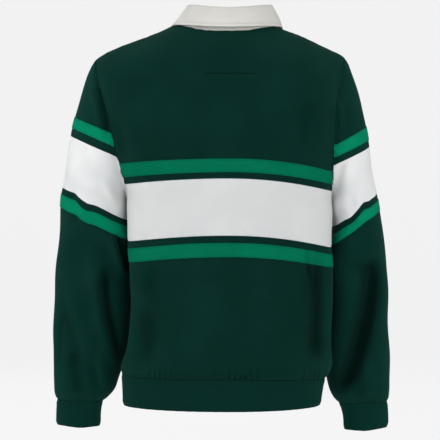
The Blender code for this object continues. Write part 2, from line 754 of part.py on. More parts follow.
def sleeve_levels(shoulder):
    """The sleeve's rows from the cuff's edge up: (name, points, armhole height)."""
    _, _, _, rings, arcs = sleeve_tables(shoulder.side)
    levels = [(ring.name, closed_ring(shoulder, ring.outer, ring.inner), None) for ring in rings]
    underarm = armhole_point(shoulder, 1, shoulder.underarm_z)
    outer_z = UNDERARM_OUTER[shoulder.side]
    ring = closed_ring(shoulder, outer_z, shoulder.underarm_z, underarm)
    levels.append(("underarm", ring, shoulder.underarm_z))
    levels += [(arc.name, open_arc(shoulder, arc), arc.armhole) for arc in arcs]
    heights = head_heights(shoulder)
    front = [armhole_point(shoulder, -1, z) for z in heights]
    back = [armhole_point(shoulder, 1, z) for z in heights]
    levels.append(("head_top", front[::-1] + back[1:], heights[-1]))
    return levels


def sleeve_piece(side, name, above):
    word = "left" if side > 0 else "right"
    if above in ("cuff_middle", "cuff_top", "cuff_seam"):
        return word + "_cuff"
    if name in ("band_bottom", "band_low", "underarm", "band_middle"):
        return word + "_sleeve_band"
    lower = {ring.name for ring in LEFT_RINGS}
    return word + ("_sleeve_lower" if name in lower else "_sleeve_head")


def add_sleeve(skin, shoulder):
    word = "left" if shoulder.side > 0 else "right"
    levels = sleeve_levels(shoulder)
    for (name, low, low_end), (above, high, high_end) in zip(levels, levels[1:]):
        piece = sleeve_piece(shoulder.side, name, above)
        tape = None
        if "tape" in name and "tape" in above:
            tape = word + "_sleeve_" + name.replace("_bottom", "")
        for column in range(SLEEVE_COLUMNS):
            loop = [low[column], low[column + 1], high[column + 1], high[column]]
            if low_end is not None and column == 0:
                loop += between(shoulder, -1, low_end, high_end)
            if low_end is not None and column == SLEEVE_COLUMNS - 1:
                loop[2:2] = between(shoulder, 1, low_end, high_end)[::-1]
            hub = low[column + 1] if column < SLEEVE_COLUMNS // 2 else low[column]
            add_face(skin, loop, hub, (piece, tape), word, shoulder.side < 0)


# ---------------------------------------------------------------- collar


def on_collar(line, turn):
    """A point of the fold or of the leaf's edge, in a direction from the middle of the back."""
    x, y, z = (fair(COLLAR, f"{line}_{axis}", abs(turn)) for axis in "xyz")
    return np.array((math.copysign(x, turn), y, z))


def fold_outwards(turn):
    """The level direction away from the neck, square to the fold."""
    along = on_collar("fold", turn + 1.0) - on_collar("fold", turn - 1.0)
    out = np.array((-along[1], along[0], 0.0))
    return out / np.linalg.norm(out)


def neck_row():
    """The points of the neck seam, all round from the left shoulder over the back."""
    back = body_levels(1)[-1][1]
    front = body_levels(-1)[-1][1]
    return back + front[-2:0:-1]


def neck_turns():
    return [math.degrees(math.atan2(place[0], place[1])) for place in neck_row()]


def add_stand(skin):
    """The stand rises from the neck seam to the fold, and shares the neck row's points."""
    neck = neck_row()
    tops = [on_collar("fold", turn) for turn in neck_turns()]
    middles = [lerp(a, b, 0.5) for a, b in zip(neck, tops)]
    for i in range(len(neck)):
        j = (i + 1) % len(neck)
        for low, high in ((neck, middles), (middles, tops)):
            loop = [low[i], low[j], high[j], high[i]]
            add_face(skin, loop, low[i], ("collar_stand", None), "collar", False)


def collar_leaf():
    """The turned-down part, from its seam on the stand over the fold to its lower edge."""
    skin = Skin()
    turns = sorted(turn for turn in neck_turns() if abs(turn) < LEAF_END)
    columns = []
    for turn in [-LEAF_END] + turns + [LEAF_END]:
        fold = on_collar("fold", turn)
        edge = on_collar("edge", turn)
        out = fold_outwards(turn)
        column = [fold + out * outwards + np.array((0, 0, up)) for outwards, up in FOLD_ROLL]
        start = column[-1]
        for row in range(1, LEAF_FALL_ROWS + 1):
            share = row / LEAF_FALL_ROWS
            belly = out * LEAF_BELLY * math.sin(math.pi * share)
            column.append(lerp(start, edge, share) + belly)
        columns.append(column)
    for a, b in zip(columns, columns[1:]):
        for low in range(len(a) - 1):
            loop = [a[low], b[low], b[low + 1], a[low + 1]]
            add_face(skin, loop, a[low], ("collar_leaf", None), "leaf", False)
    loops = [loop for loop, _, _ in skin.faces]
    wall("collar_leaf", skin, skin.normals(), loops, WOVEN, COLLAR_WHITE)


# ---------------------------------------------------------------- placket and buttons


def front_place(x, z):
    """A point of the front's surface, near the middle line."""
    widest = fair(GIRTHS, "widest", PLACKET_LEVEL)
    half_width = fair(GIRTHS, "left", PLACKET_LEVEL)
    across = (abs(x) / half_width) ** (CURVE_POWER / 2)
    y = math.sin(math.acos(across)) ** (2 / CURVE_POWER)
    return np.array((x, widest + (fair(FRONT_LINE, "y", z) - widest) * y, z))


def placket():
    """A strip that lies on the middle of the front. Returns how high its face stands."""
    skin = Skin()
    top = SHOULDER_ROWS[-1].front - PLACKET_BELOW_NECK
    rows = []
    for step in range(PLACKET_STEPS + 1):
        z = top + (PLACKET_BOTTOM - top) * step / PLACKET_STEPS
        rows.append([front_place(PLACKET_WIDTH * share, z) for share in PLACKET_COLUMNS])
    for high, low in zip(rows, rows[1:]):
        for column in range(len(PLACKET_COLUMNS) - 1):
            loop = [low[column], low[column + 1], high[column + 1], high[column]]
            add_face(skin, loop, loop[0], ("placket", None), "placket", False)
    loops = [loop for loop, _, _ in skin.faces]
    lift = PLACKET_CLEARANCE + WOVEN
    wall("placket", skin, skin.normals(), loops, WOVEN, COLLAR_WHITE, lift)
    return lift


def buttons(lift):
    """Low cones that lie on the placket, square to its slope."""
    for number, z in enumerate(BUTTON_LEVELS, start=1):
        place = front_place(0.0, z)
        below = front_place(0.0, z - BUTTON_SLOPE_STEP)
        slope = Vector(below - place).normalized()
        facing = Vector((-1, 0, 0)).cross(slope)
        mesh = bmesh.new()
        bmesh.ops.create_cone(
            mesh,
            cap_ends=True,
            segments=BUTTON_SIDES,
            radius1=BUTTON_RADIUS,
            radius2=BUTTON_RADIUS * BUTTON_TAPER,
            depth=BUTTON_HEIGHT,
        )
        turn = Vector((0, 0, 1)).rotation_difference(facing)
        distance = lift + LAID_GAP + BUTTON_HEIGHT / 2
        centre = Vector(place) + facing * distance
        points = [tuple(centre + turn @ vertex.co) for vertex in mesh.verts]
        faces = [[vertex.index for vertex in face.verts] for face in mesh.faces]
        mesh.free()
        new_piece(f"button_{number}", points, faces, BUTTON_WHITE)


# ---------------------------------------------------------------- the whole


def finish_of(name):
    if name.endswith("_tape"):
        return BRIGHT_GREEN
    if name.endswith("_band"):
        return WHITE_BAND
    if name == "collar_stand":
        return COLLAR_WHITE
    return DARK_GREEN


def thickness_of(name):
    if name.endswith("_rib") or name.endswith("_cuff"):
        return RIB
    if name == "collar_stand":
        return WOVEN
    return FLEECE


def main():
    for thing in list(bpy.data.objects):
        bpy.data.objects.remove(thing, do_unlink=True)
    skin = Skin()
    add_body(skin)
    add_sleeve(skin, LEFT)
    add_sleeve(skin, RIGHT)
    add_stand(skin)
    normals = skin.normals()
    pieces = {}
    tapes = {}
    for loop, (piece, tape), _ in skin.faces:
        pieces.setdefault(piece, []).append(loop)
        if tape:
            tapes.setdefault(tape, []).append(loop)
    for name, loops in pieces.items():
        wall(name, skin, normals, loops, thickness_of(name), finish_of(name))
    for name, loops in tapes.items():
        wall(name, skin, normals, loops, TAPE, BRIGHT_GREEN, LAID_GAP + TAPE)
    collar_leaf()
    buttons(placket())


main()
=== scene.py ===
# %% [markdown]
# # A rugby-style sweatshirt, filled out as worn
#
# The real garment is cut from heavy brushed fleece. Its front, back and sleeves are each
# sewn from a dark upper, a white band and a dark lower part, and bright knit tapes lie
# above and below the band. Hem and cuffs are ribbed, and the collar is woven cotton.
#
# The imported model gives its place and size. This lesson makes each piece again as thin,
# creased cloth on the same form, and hides the plain solid under it.

import math
from collections import namedtuple

import bmesh
import bpy
import numpy as np
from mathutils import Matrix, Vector, kdtree
from mathutils.bvhtree import BVHTree


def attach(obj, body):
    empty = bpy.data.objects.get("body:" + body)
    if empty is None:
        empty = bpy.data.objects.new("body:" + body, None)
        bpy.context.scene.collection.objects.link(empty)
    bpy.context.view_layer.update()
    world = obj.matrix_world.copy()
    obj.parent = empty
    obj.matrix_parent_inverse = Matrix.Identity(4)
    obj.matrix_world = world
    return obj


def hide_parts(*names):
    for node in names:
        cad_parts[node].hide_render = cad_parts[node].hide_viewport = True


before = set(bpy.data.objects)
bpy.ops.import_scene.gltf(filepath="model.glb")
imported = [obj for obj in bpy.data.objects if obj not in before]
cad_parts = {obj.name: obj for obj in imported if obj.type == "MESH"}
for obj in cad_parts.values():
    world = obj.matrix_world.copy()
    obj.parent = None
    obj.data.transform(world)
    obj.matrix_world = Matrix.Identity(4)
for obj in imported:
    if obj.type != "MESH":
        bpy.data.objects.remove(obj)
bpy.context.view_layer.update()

# %% [markdown]
# ## The camera
#
# The photograph looks level at the back from a few metres away, with a long lens. Its
# horizon lies above the middle of the picture, so the camera stands at that height and
# shifts its frame down. Turning it down instead would make the sides converge.

# %% Set the camera
CAMERA_PLACE = (0.016, 3.40, -0.240)
PICTURE_WIDTH = 0.7788  # metres seen across the picture at the garment
PICTURE_MIDDLE_Z = -0.3416
SENSOR = 36.0


def add_object(name, data):
    thing = bpy.data.objects.new(name, data)
    bpy.context.scene.collection.objects.link(thing)
    return thing


lens = bpy.data.cameras.new("camera")
lens.sensor_width = SENSOR
lens.lens = SENSOR * CAMERA_PLACE[1] / PICTURE_WIDTH
lens.shift_y = (PICTURE_MIDDLE_Z - CAMERA_PLACE[2]) / PICTURE_WIDTH
camera = add_object("camera", lens)
camera.location = CAMERA_PLACE
camera.rotation_euler = (math.pi / 2, 0.0, math.pi)
bpy.context.scene.camera = camera
print("lens:", round(lens.lens, 1), "mm, shift:", round(lens.shift_y, 3))

# %% [markdown]
# ## Shader sums as Python expressions
#
# A material's maths is easier to read as an expression than as a list of nodes. The small
# class below wraps one output socket, and each operator on it adds the Math node that does
# that sum. Everything that isn't a plain sum comes from one method, `Recipe.node`.

# %% Wrap sockets so that sums add their own nodes
class Wire:
    """One output socket of a material, with the arithmetic that the finishes need."""

    def __init__(self, recipe, socket):
        self.recipe = recipe
        self.socket = socket

    def sum(self, operation, *others):
        return self.recipe.maths(operation, self, *others)

    def __add__(self, other):
        return self.sum("ADD", other)

    def __sub__(self, other):
        return self.sum("SUBTRACT", other)

    def __mul__(self, other):
        return self.sum("MULTIPLY", other)

    def __truediv__(self, other):
        return self.sum("DIVIDE", other)

    def __rsub__(self, other):
        return self.recipe.maths("SUBTRACT", other, self)

    __radd__ = __add__
    __rmul__ = __mul__

    def __abs__(self):
        return self.sum("ABSOLUTE")

    def sin(self):
        return self.sum("SINE")

    def fraction(self):
        return self.sum("FRACT")

    def root(self):
        return self.sum("SQRT")

    def larger(self, other):
        return self.sum("MAXIMUM", other)

    def smaller(self, other):
        return self.sum("MINIMUM", other)

    def between(self, low, high):
        """0 below `low`, 1 above `high`, and a soft step in between."""
        return self.recipe.node(
            "ShaderNodeMapRange",
            {"interpolation_type": "SMOOTHSTEP"},
            {"Value": self, "From Min": low, "From Max": high},
        )["Result"]

    def line(self, at, half, soft):
        """1 on a line where this value is `at`, fading over `soft` beside it."""
        return 1.0 - abs(self - at).between(half, half + soft)


# %% Collect a material's nodes
class Recipe:
    """One material, with its Principled shader and a way to add any node."""

    def __init__(self, name):
        self.material = bpy.data.materials.new(name)
        self.material.use_nodes = True
        self.tree = self.material.node_tree
        self.shader = self.tree.nodes["Principled BSDF"]

    def put(self, socket, value):
        if isinstance(value, Wire):
            self.tree.links.new(value.socket, socket)
        else:
            socket.default_value = value

    def node(self, kind, settings=None, values=None):
        made = self.tree.nodes.new(kind)
        for name, value in (settings or {}).items():
            setattr(made, name, value)
        for name, value in (values or {}).items():
            self.put(made.inputs[name], value)
        return {socket.name: Wire(self, socket) for socket in made.outputs if socket.enabled}

    def maths(self, operation, *values):
        numbered = dict(enumerate(values))
        return self.node("ShaderNodeMath", {"operation": operation}, numbered)["Value"]

    def mix(self, share, first, second):
        """A colour between two others. Mix has sockets of every kind, so these are numbered."""
        settings = {"data_type": "RGBA", "clamp_factor": True}
        return self.node("ShaderNodeMix", settings, {0: share, 6: first, 7: second})["Result"]

    def finish(self, **values):
        """Sets the Principled shader's own sockets, by name with underscores."""
        for name, value in values.items():
            self.put(self.shader.inputs[name.replace("_", " ")], value)
        return self.material


# %% [markdown]
# ## Floor and light
#
# The picture is a plain studio shot: an even pale ground and soft light from all round,
# a little stronger from the upper left. A sweep that curves up behind the garment has no
# line where floor and wall meet. It gives off a little light of its own, so it stays even.

# %% Build the sweep, the sky and the lamps
FLOOR_Z = -0.95
SWEEP_FRONT = 7.0
SWEEP_BACK = -6.5
SWEEP_HALF_WIDTH = 6.0
SWEEP_TOP = 4.0
BEND = 0.9
BEND_STEPS = 12
PAPER_TONE = (0.08, 0.08, 0.08, 1.0)  # dark, so that the lamps leave no pools on it
PAPER_GLOW = 0.825
SKY_GLOW = 0.55
PURE_WHITE = (1.0, 1.0, 1.0, 1.0)


def mesh_object(name, points, faces):
    mesh = bpy.data.meshes.new(name)
    mesh.from_pydata([tuple(point) for point in points], [], faces)
    return add_object(name, mesh)


def sweep():
    """One sheet: level floor, quarter round, upright wall."""
    line = [(SWEEP_FRONT, FLOOR_Z)]
    for step in range(BEND_STEPS + 1):
        turn = math.pi / 2 * step / BEND_STEPS
        line.append((SWEEP_BACK - BEND * math.sin(turn), FLOOR_Z + BEND * (1 - math.cos(turn))))
    line.append((SWEEP_BACK - BEND, SWEEP_TOP))
    points = [(side * SWEEP_HALF_WIDTH, y, z) for y, z in line for side in (-1, 1)]
    faces = [(2 * i, 2 * i + 1, 2 * i + 3, 2 * i + 2) for i in range(len(line) - 1)]
    thing = mesh_object("sweep", points, faces)
    thing.data.shade_smooth()
    return thing


ground = sweep()
paper = Recipe("pale_paper").finish(
    Base_Color=PAPER_TONE,
    Roughness=1.0,
    Specular_IOR_Level=0.0,
    Emission_Color=PURE_WHITE,
    Emission_Strength=PAPER_GLOW,
)
ground.data.materials.append(paper)

Lamp = namedtuple("Lamp", "name place size power")
LAMPS = (
    Lamp("key", (1.3, 3.2, 1.0), 1.8, 25.0),
    Lamp("fill", (-0.9, 3.1, -0.35), 1.3, 29.0),
    Lamp("side_left", (2.5, 1.2, 0.1), 1.6, 25.0),
    Lamp("side_right", (-2.5, 1.4, 0.2), 1.6, 32.0),
    Lamp("top", (1.4, 0.7, 1.8), 1.4, 27.0),
    Lamp("front", (0.5, -2.6, 0.9), 1.8, 24.0),
)
LAMP_TARGET = Vector((0.0, 0.0, -0.35))
for lamp in LAMPS:
    light = bpy.data.lights.new(lamp.name, "AREA")
    light.size = lamp.size
    light.energy = lamp.power
    holder = add_object(lamp.name, light)
    holder.location = lamp.place
    holder.visible_camera = False
    holder.rotation_euler = (LAMP_TARGET - holder.location).to_track_quat("-Z", "Y").to_euler()

world = bpy.data.worlds.new("studio")
world.use_nodes = True
sky = world.node_tree.nodes["Background"].inputs
sky["Color"].default_value = PURE_WHITE
sky["Strength"].default_value = SKY_GLOW
bpy.context.scene.world = world
bpy.context.scene.view_settings.view_transform = "Standard"
print("lamps:", len(LAMPS))

# %% [markdown]
# ## The sizes of the body
#
# A garment's form is easiest to read as a stack of level rows. Each row has its heights at
# the two side edges and at the middle lines of back and front. Half widths and the middle
# lines' depth come from short tables, which are read on a smooth curve. Each row also says
# which strip of cloth lies above it, so seams and tapes follow the rows.

# %% Name the body's sizes
HALF_COLUMNS = 30  # from a side edge to the middle line
SLEEVE_COLUMNS = 32
HEAD_STEPS = SLEEVE_COLUMNS // 2
ROW_SPACING = 0.022  # rows further apart than this get another between them
SIDE_SEAM_Y = -0.010
CURVE_POWER = 2.2  # of the superellipse that a row follows in plan
YOKE_FALL_POWER = 1.6
BACK, FRONT = 1, -1  # a face of the garment, as the sign of its direction along Y
ARMHOLE_Y = -0.008
ARMHOLE_DEPTH = {BACK: 0.068, FRONT: -0.066}
ARMHOLE_INSET = {BACK: 0.0, FRONT: 0.012}
SLEEVE_HEAD_SIDE = math.radians(57.0)
TIP_LEAVES = 0.035  # how far apart the two faces' highest armhole rows head off

FLEECE = 0.0020  # thicknesses of the cloths
RIB = 0.0026
WOVEN = 0.0016
TAPE = 0.0008
LAID_GAP = 0.0002  # between a laid piece and the cloth under it

Shoulder = namedtuple("Shoulder", "word side tip neck underarm_z underarm_outer")
LEFT = Shoulder("left", 1, (0.2345, -0.005, -0.0548), (0.0935, 0.0, 0.0062), -0.312, -0.260)
RIGHT = Shoulder("right", -1, (0.2070, -0.005, -0.0490), (0.0905, 0.0, -0.0020), -0.318, -0.273)


def table(kind, *entries):
    """Rows of one kind. Words among the numbers come first in each row that follows them."""
    rows, words = [], []
    for entry in entries:
        if isinstance(entry, str):
            words = entry.split()
        else:
            rows.append(kind(*words, *entry))
    return rows


Girth = namedtuple("Girth", "z left right widest")
GIRTHS = table(
    Girth,
    (-0.67, 0.187, 0.161, 0.018), (-0.64, 0.188, 0.165, 0.019), (-0.617, 0.1895, 0.17, 0.02),
    (-0.602, 0.1925, 0.179, 0.024), (-0.565, 0.178, 0.1795, 0.03), (-0.5, 0.174, 0.1798, 0.032),
    (-0.418, 0.174, 0.18, 0.033), (-0.36, 0.1765, 0.1808, 0.033), (-0.312, 0.182, 0.1806, 0.026),
    (-0.245, 0.19, 0.185, 0.03), (-0.165, 0.215, 0.195, 0.022), (-0.09, 0.23, 0.2, 0.004),
    (-0.053, 0.2345, 0.203, -0.005), (0.003, 0.0935, 0.0955, 0.0),
)
Profile = namedtuple("Profile", "z y")
BACK_LINE = table(
    Profile,
    (-0.67, 0.113), (-0.645, 0.1135), (-0.617, 0.116), (-0.602, 0.1225), (-0.565, 0.12),
    (-0.5, 0.116), (-0.42, 0.1165), (-0.34, 0.1205), (-0.25, 0.127), (-0.18, 0.127),
    (-0.12, 0.1195), (-0.073, 0.108), (-0.04, 0.095), (-0.0117, 0.0765),
)
FRONT_LINE = table(
    Profile,
    (-0.672, -0.11), (-0.65, -0.1105), (-0.618, -0.113), (-0.604, -0.1195), (-0.565, -0.118),
    (-0.5, -0.116), (-0.4, -0.1215), (-0.3, -0.128), (-0.24, -0.127), (-0.18, -0.12),
    (-0.13, -0.108), (-0.1, -0.0965), (-0.074, -0.081),
)
# fall is 0 for a row that bends up evenly to its middle, and 1 for a yoke row, which leaves
# the shoulder's ridge level and then falls. Each row holds the heights of its four ends.
Row = namedtuple("Row", "strip left right back front fall", defaults=(0.0,))
SEAM_ROWS = table(
    Row,
    "hem_rib",
    (-0.6655, -0.6655, -0.6675, -0.672), (-0.64, -0.643, -0.641, -0.645),
    (-0.621, -0.627, -0.621, -0.625),
    "lower",
    (-0.613, -0.619, -0.6135, -0.617), (-0.6, -0.604, -0.6, -0.603),
    (-0.574, -0.578, -0.573, -0.576), (-0.529, -0.534, -0.524, -0.529),
    (-0.469, -0.476, -0.461, -0.469),
    "lower_tape",
    (-0.412, -0.4209, -0.4, -0.412),
    "lower",
    (-0.3892, -0.3999, -0.3771, -0.389),
    "band",
    (-0.3771, -0.3882, -0.3653, -0.377), (-0.346, -0.353, -0.336, -0.345),
    (-0.312, -0.318, -0.302, -0.311),
)
ARMHOLE_ROWS = table(
    Row,
    "band",
    (-0.312, -0.318, -0.302, -0.311),
    "upper",
    (-0.2768, -0.2895, -0.2657, -0.277),
    "upper_tape",
    (-0.266, -0.2779, -0.2564, -0.267),
    "upper",
    (-0.2433, -0.2575, -0.2337, -0.244, 1 / 3), (-0.205, -0.216, -0.203, -0.214, 2 / 3),
    (-0.164, -0.172, -0.175, -0.188, 1.0), (-0.123, -0.126, -0.148, -0.165, 1.0),
    (-0.0965, -0.097, -0.124, -0.145, 1.0), (-0.07, -0.07, -0.106, -0.13, 1.0),
    (-0.0548, -0.049, -0.09, -0.118, 1.0),
)
ShoulderRow = namedtuple("ShoulderRow", "share back front")
SHOULDER_ROWS = table(
    ShoulderRow,
    (0.0, -0.09, -0.118), (0.26, -0.0725, -0.108), (0.52, -0.0555, -0.099),
    (0.74, -0.0395, -0.0905), (0.89, -0.025, -0.082), (1.0, -0.0117, -0.074),
)
Line = namedtuple("Line", "z x")
ACROSS = {
    "left": table(
        Line,
        (-0.312, 0.178), (-0.2756, 0.1833), (-0.2268, 0.1965), (-0.1657, 0.2095),
        (-0.1117, 0.2245), (-0.0768, 0.232), (-0.0548, 0.2345),
    ),
    "right": table(
        Line,
        (-0.318, 0.1765), (-0.2878, 0.179), (-0.2407, 0.1808), (-0.1657, 0.186),
        (-0.1204, 0.19), (-0.09, 0.1945), (-0.049, 0.207),
    ),
}
print("body rows:", len(SEAM_ROWS) + len(ARMHOLE_ROWS) + len(SHOULDER_ROWS))

# %% [markdown]
# ## The sizes of the sleeves
#
# A sleeve is a stack of rings from the cuff to the underarm, and of open rows above it that
# end on the armhole. Its outer and inner lines give the outline that shows from the back,
# and a depth table the width from front to back.

# %% Name the sleeves' sizes
Depth = namedtuple("Depth", "z y half")
OUTER = {
    "left": table(
        Line,
        (-0.72, 0.312), (-0.695, 0.3125), (-0.6665, 0.311), (-0.656, 0.3155), (-0.6253, 0.3152),
        (-0.5687, 0.3138), (-0.5051, 0.3145), (-0.4507, 0.3121), (-0.3965, 0.3078),
        (-0.3426, 0.3028), (-0.2996, 0.2982), (-0.2568, 0.291), (-0.214, 0.2832),
        (-0.1714, 0.274), (-0.1395, 0.266), (-0.1076, 0.258), (-0.0759, 0.2465),
        (-0.0548, 0.2345),
    ),
    "right": table(
        Line,
        (-0.726, 0.288), (-0.7, 0.2885), (-0.67, 0.287), (-0.659, 0.2892), (-0.6253, 0.2892),
        (-0.5687, 0.2885), (-0.5051, 0.2863), (-0.4507, 0.2838), (-0.3965, 0.2787),
        (-0.3426, 0.2715), (-0.2996, 0.2642), (-0.2568, 0.2566), (-0.214, 0.249),
        (-0.1714, 0.2405), (-0.1395, 0.233), (-0.1076, 0.2255), (-0.0759, 0.216),
        (-0.049, 0.207),
    ),
}
INNER = {
    "left": table(
        Line,
        (-0.72, 0.231), (-0.685, 0.2305), (-0.669, 0.226), (-0.658, 0.214), (-0.648, 0.206),
        (-0.6324, 0.201), (-0.608, 0.1925), (-0.565, 0.1775), (-0.52, 0.174), (-0.45, 0.172),
        (-0.39, 0.1745), (-0.348, 0.181), (-0.33, 0.181), (-0.312, 0.178),
    ),
    "right": table(
        Line,
        (-0.726, 0.2065), (-0.69, 0.2055), (-0.673, 0.197), (-0.66, 0.186), (-0.6286, 0.1765),
        (-0.5686, 0.1735), (-0.5, 0.1735), (-0.42, 0.1765), (-0.386, 0.1805), (-0.356, 0.184),
        (-0.337, 0.1825), (-0.318, 0.1765),
    ),
}
DEPTH = {
    "left": table(
        Depth,
        (-0.72, -0.072, 0.031), (-0.685, -0.071, 0.032), (-0.668, -0.07, 0.037),
        (-0.656, -0.07, 0.048), (-0.632, -0.068, 0.0525), (-0.56, -0.062, 0.056),
        (-0.48, -0.052, 0.059), (-0.4, -0.04, 0.062), (-0.34, -0.03, 0.066),
        (-0.286, -0.02, 0.07), (-0.2, -0.012, 0.07), (-0.053, -0.005, 0.07),
    ),
    "right": table(
        Depth,
        (-0.726, -0.072, 0.031), (-0.69, -0.071, 0.032), (-0.672, -0.07, 0.0375),
        (-0.66, -0.07, 0.0495), (-0.635, -0.068, 0.057), (-0.56, -0.062, 0.066),
        (-0.48, -0.052, 0.0715), (-0.4, -0.04, 0.0735), (-0.34, -0.03, 0.073),
        (-0.286, -0.02, 0.0715), (-0.2, -0.012, 0.07), (-0.052, -0.005, 0.07),
    ),
}
# The power of the superellipse that a ring follows: the higher, the flatter its back.
Power = namedtuple("Power", "z power")
SLEEVE_POWERS = table(
    Power,
    (-0.72, 2.1), (-0.67, 2.6), (-0.645, 3.5), (-0.55, 3.1), (-0.42, 3.0), (-0.36, 2.6),
    (-0.31, 2.25),
)
Ring = namedtuple("Ring", "strip outer inner")
RINGS = {
    "left": table(
        Ring,
        "cuff",
        (-0.712, -0.7145), (-0.694, -0.6965), (-0.676, -0.679),
        "sleeve_lower",
        (-0.6665, -0.6695), (-0.656, -0.657), (-0.633, -0.634), (-0.601, -0.604),
        (-0.56, -0.566), (-0.512, -0.527), (-0.463, -0.487), (-0.415, -0.45), (-0.368, -0.417),
        "sleeve_lower_tape",
        (-0.3165, -0.3787),
        "sleeve_lower",
        (-0.2945, -0.3545),
        "sleeve_band",
        (-0.2838, -0.3427), (-0.2712, -0.3272),
    ),
    "right": table(
        Ring,
        "cuff",
        (-0.7165, -0.721), (-0.6985, -0.702), (-0.68, -0.683),
        "sleeve_lower",
        (-0.6705, -0.6735), (-0.66, -0.661), (-0.635, -0.636), (-0.603, -0.606),
        (-0.562, -0.57), (-0.515, -0.532), (-0.468, -0.495), (-0.421, -0.46), (-0.375, -0.425),
        "sleeve_lower_tape",
        (-0.3238, -0.389),
        "sleeve_lower",
        (-0.3028, -0.366),
        "sleeve_band",
        (-0.2952, -0.3545), (-0.286, -0.337),
    ),
}
# Open rows: the outer end's height, the armhole's, and how far round the row's ellipse it
# reaches to each side of the outer line, in degrees.
Arc = namedtuple("Arc", "strip outer armhole reach")
ARCS = {
    "left": table(
        Arc,
        "sleeve_band",
        (-0.227, -0.285, 140.0),
        "sleeve_head",
        (-0.1912, -0.2268, 105.0),
        "sleeve_upper_tape",
        (-0.1793, -0.2152, 98.0),
        "sleeve_head",
        (-0.1581, -0.1867, 88.0), (-0.132, -0.162, 80.0), (-0.106, -0.14, 74.0),
        (-0.08, -0.124, 69.0),
    ),
    "right": table(
        Arc,
        "sleeve_band",
        (-0.24, -0.292, 138.0),
        "sleeve_head",
        (-0.2112, -0.2433, 110.0),
        "sleeve_upper_tape",
        (-0.199, -0.2325, 103.0),
        "sleeve_head",
        (-0.1765, -0.212, 94.0), (-0.143, -0.178, 84.0), (-0.113, -0.149, 76.0),
        (-0.083, -0.125, 69.0),
    ),
}
print("sleeve rows:", {word: len(RINGS[word]) + len(ARCS[word]) for word in RINGS})

# %% [markdown]
# ## Reading a table on a smooth curve
#
# A fair line runs through the table's points without overshooting them, the way a pattern
# maker bends a thin ruler through marks.

# %% Read tables on a smooth curve
def fair(rows, column, key):
    """A column's value at one key (the first column), on a smooth curve through the rows."""
    keys = [row[0] for row in rows]
    values = [getattr(row, column) for row in rows]
    key = min(max(key, keys[0]), keys[-1])
    last = len(keys) - 2
    span = next((i for i in range(last) if key <= keys[i + 1]), last)
    slopes = [(values[i + 1] - values[i]) / (keys[i + 1] - keys[i]) for i in range(last + 1)]
    ends = []
    for i in (span, span + 1):
        before = slopes[max(i - 1, 0)]
        after = slopes[min(i, last)]
        ends.append(0.0 if before * after < 0 else (before + after) / 2)
    width = keys[span + 1] - keys[span]
    u = (key - keys[span]) / width
    return (
        values[span] * (1 + 2 * u) * (1 - u) ** 2
        + values[span + 1] * u * u * (3 - 2 * u)
        + width * (ends[0] * u * (1 - u) ** 2 - ends[1] * u * u * (1 - u))
    )


def lerp(a, b, share):
    return np.asarray(a, float) * (1 - share) + np.asarray(b, float) * share


def closer(rows, column):
    """The same rows with more between them, where two are far apart in one column."""
    found = [rows[0]]
    for low, high in zip(rows, rows[1:]):
        count = math.ceil(abs(getattr(high, column) - getattr(low, column)) / ROW_SPACING)
        for step in range(1, count):
            mixed = [a + (b - a) * step / count for a, b in zip(low[1:], high[1:])]
            found.append(type(low)(low[0], *mixed))
        found.append(high)
    return found


SEAM_ROWS = closer(SEAM_ROWS, "back")
ARMHOLE_ROWS = closer(ARMHOLE_ROWS, "back")
RINGS = {word: closer(rows, "outer") for word, rows in RINGS.items()}
ARCS = {word: closer(rows, "outer") for word, rows in ARCS.items()}
print("rows after filling:", len(SEAM_ROWS) + len(ARMHOLE_ROWS), len(RINGS["left"] + ARCS["left"]))

# %% [markdown]
# ## One skin for the whole garment
#
# Body and sleeves are first made as one coarse skin, so that cloth runs on without a step
# over every seam. Each face remembers the piece of cloth that it belongs to. Its corners
# carry the cloth's own measure in metres, across and up, as a UV map for knit and ribs.

# %% Find the armholes
TOUCHING = 1e-5  # heights nearer than this are the same


def armhole_span(shoulder):
    """The armhole's middle height, and half its height."""
    top = shoulder.tip[2]
    return (top + shoulder.underarm_z) / 2, (top - shoulder.underarm_z) / 2


def armhole_point(shoulder, face, z):
    """A point of the armhole seam on one face, at one height."""
    middle, half = armhole_span(shoulder)
    round_it = math.acos(min(max((z - middle) / half, -1.0), 1.0))
    y = lerp(ARMHOLE_Y, shoulder.tip[1], max(math.cos(round_it), 0.0))
    y += ARMHOLE_DEPTH[face] * math.sin(round_it)
    x = fair(ACROSS[shoulder.word], "x", z) - ARMHOLE_INSET[face] * math.sin(round_it)
    return (shoulder.side * x, float(y), z)


def head_heights(shoulder):
    """Armhole heights from the shoulder tip to the end of the sleeve's last head row."""
    middle, half = armhole_span(shoulder)
    steps = [SLEEVE_HEAD_SIDE * i / HEAD_STEPS for i in range(HEAD_STEPS + 1)]
    return [middle + half * math.cos(step) for step in steps]


def armhole_heights(shoulder):
    """Every height at which a row of the body or of the sleeve ends on this armhole."""
    heights = [getattr(row, shoulder.word) for row in ARMHOLE_ROWS]
    heights += [arc.armhole for arc in ARCS[shoulder.word]]
    return sorted(heights + head_heights(shoulder))


def between(shoulder, face, low, high):
    """The armhole points between two heights, from the high one down, with their shares."""
    heights = [z for z in armhole_heights(shoulder) if low + TOUCHING < z < high - TOUCHING]
    shares = [(z - low) / (high - low) for z in heights]
    places = [armhole_point(shoulder, face, z) for z in heights]
    return list(zip(places, shares))[::-1]


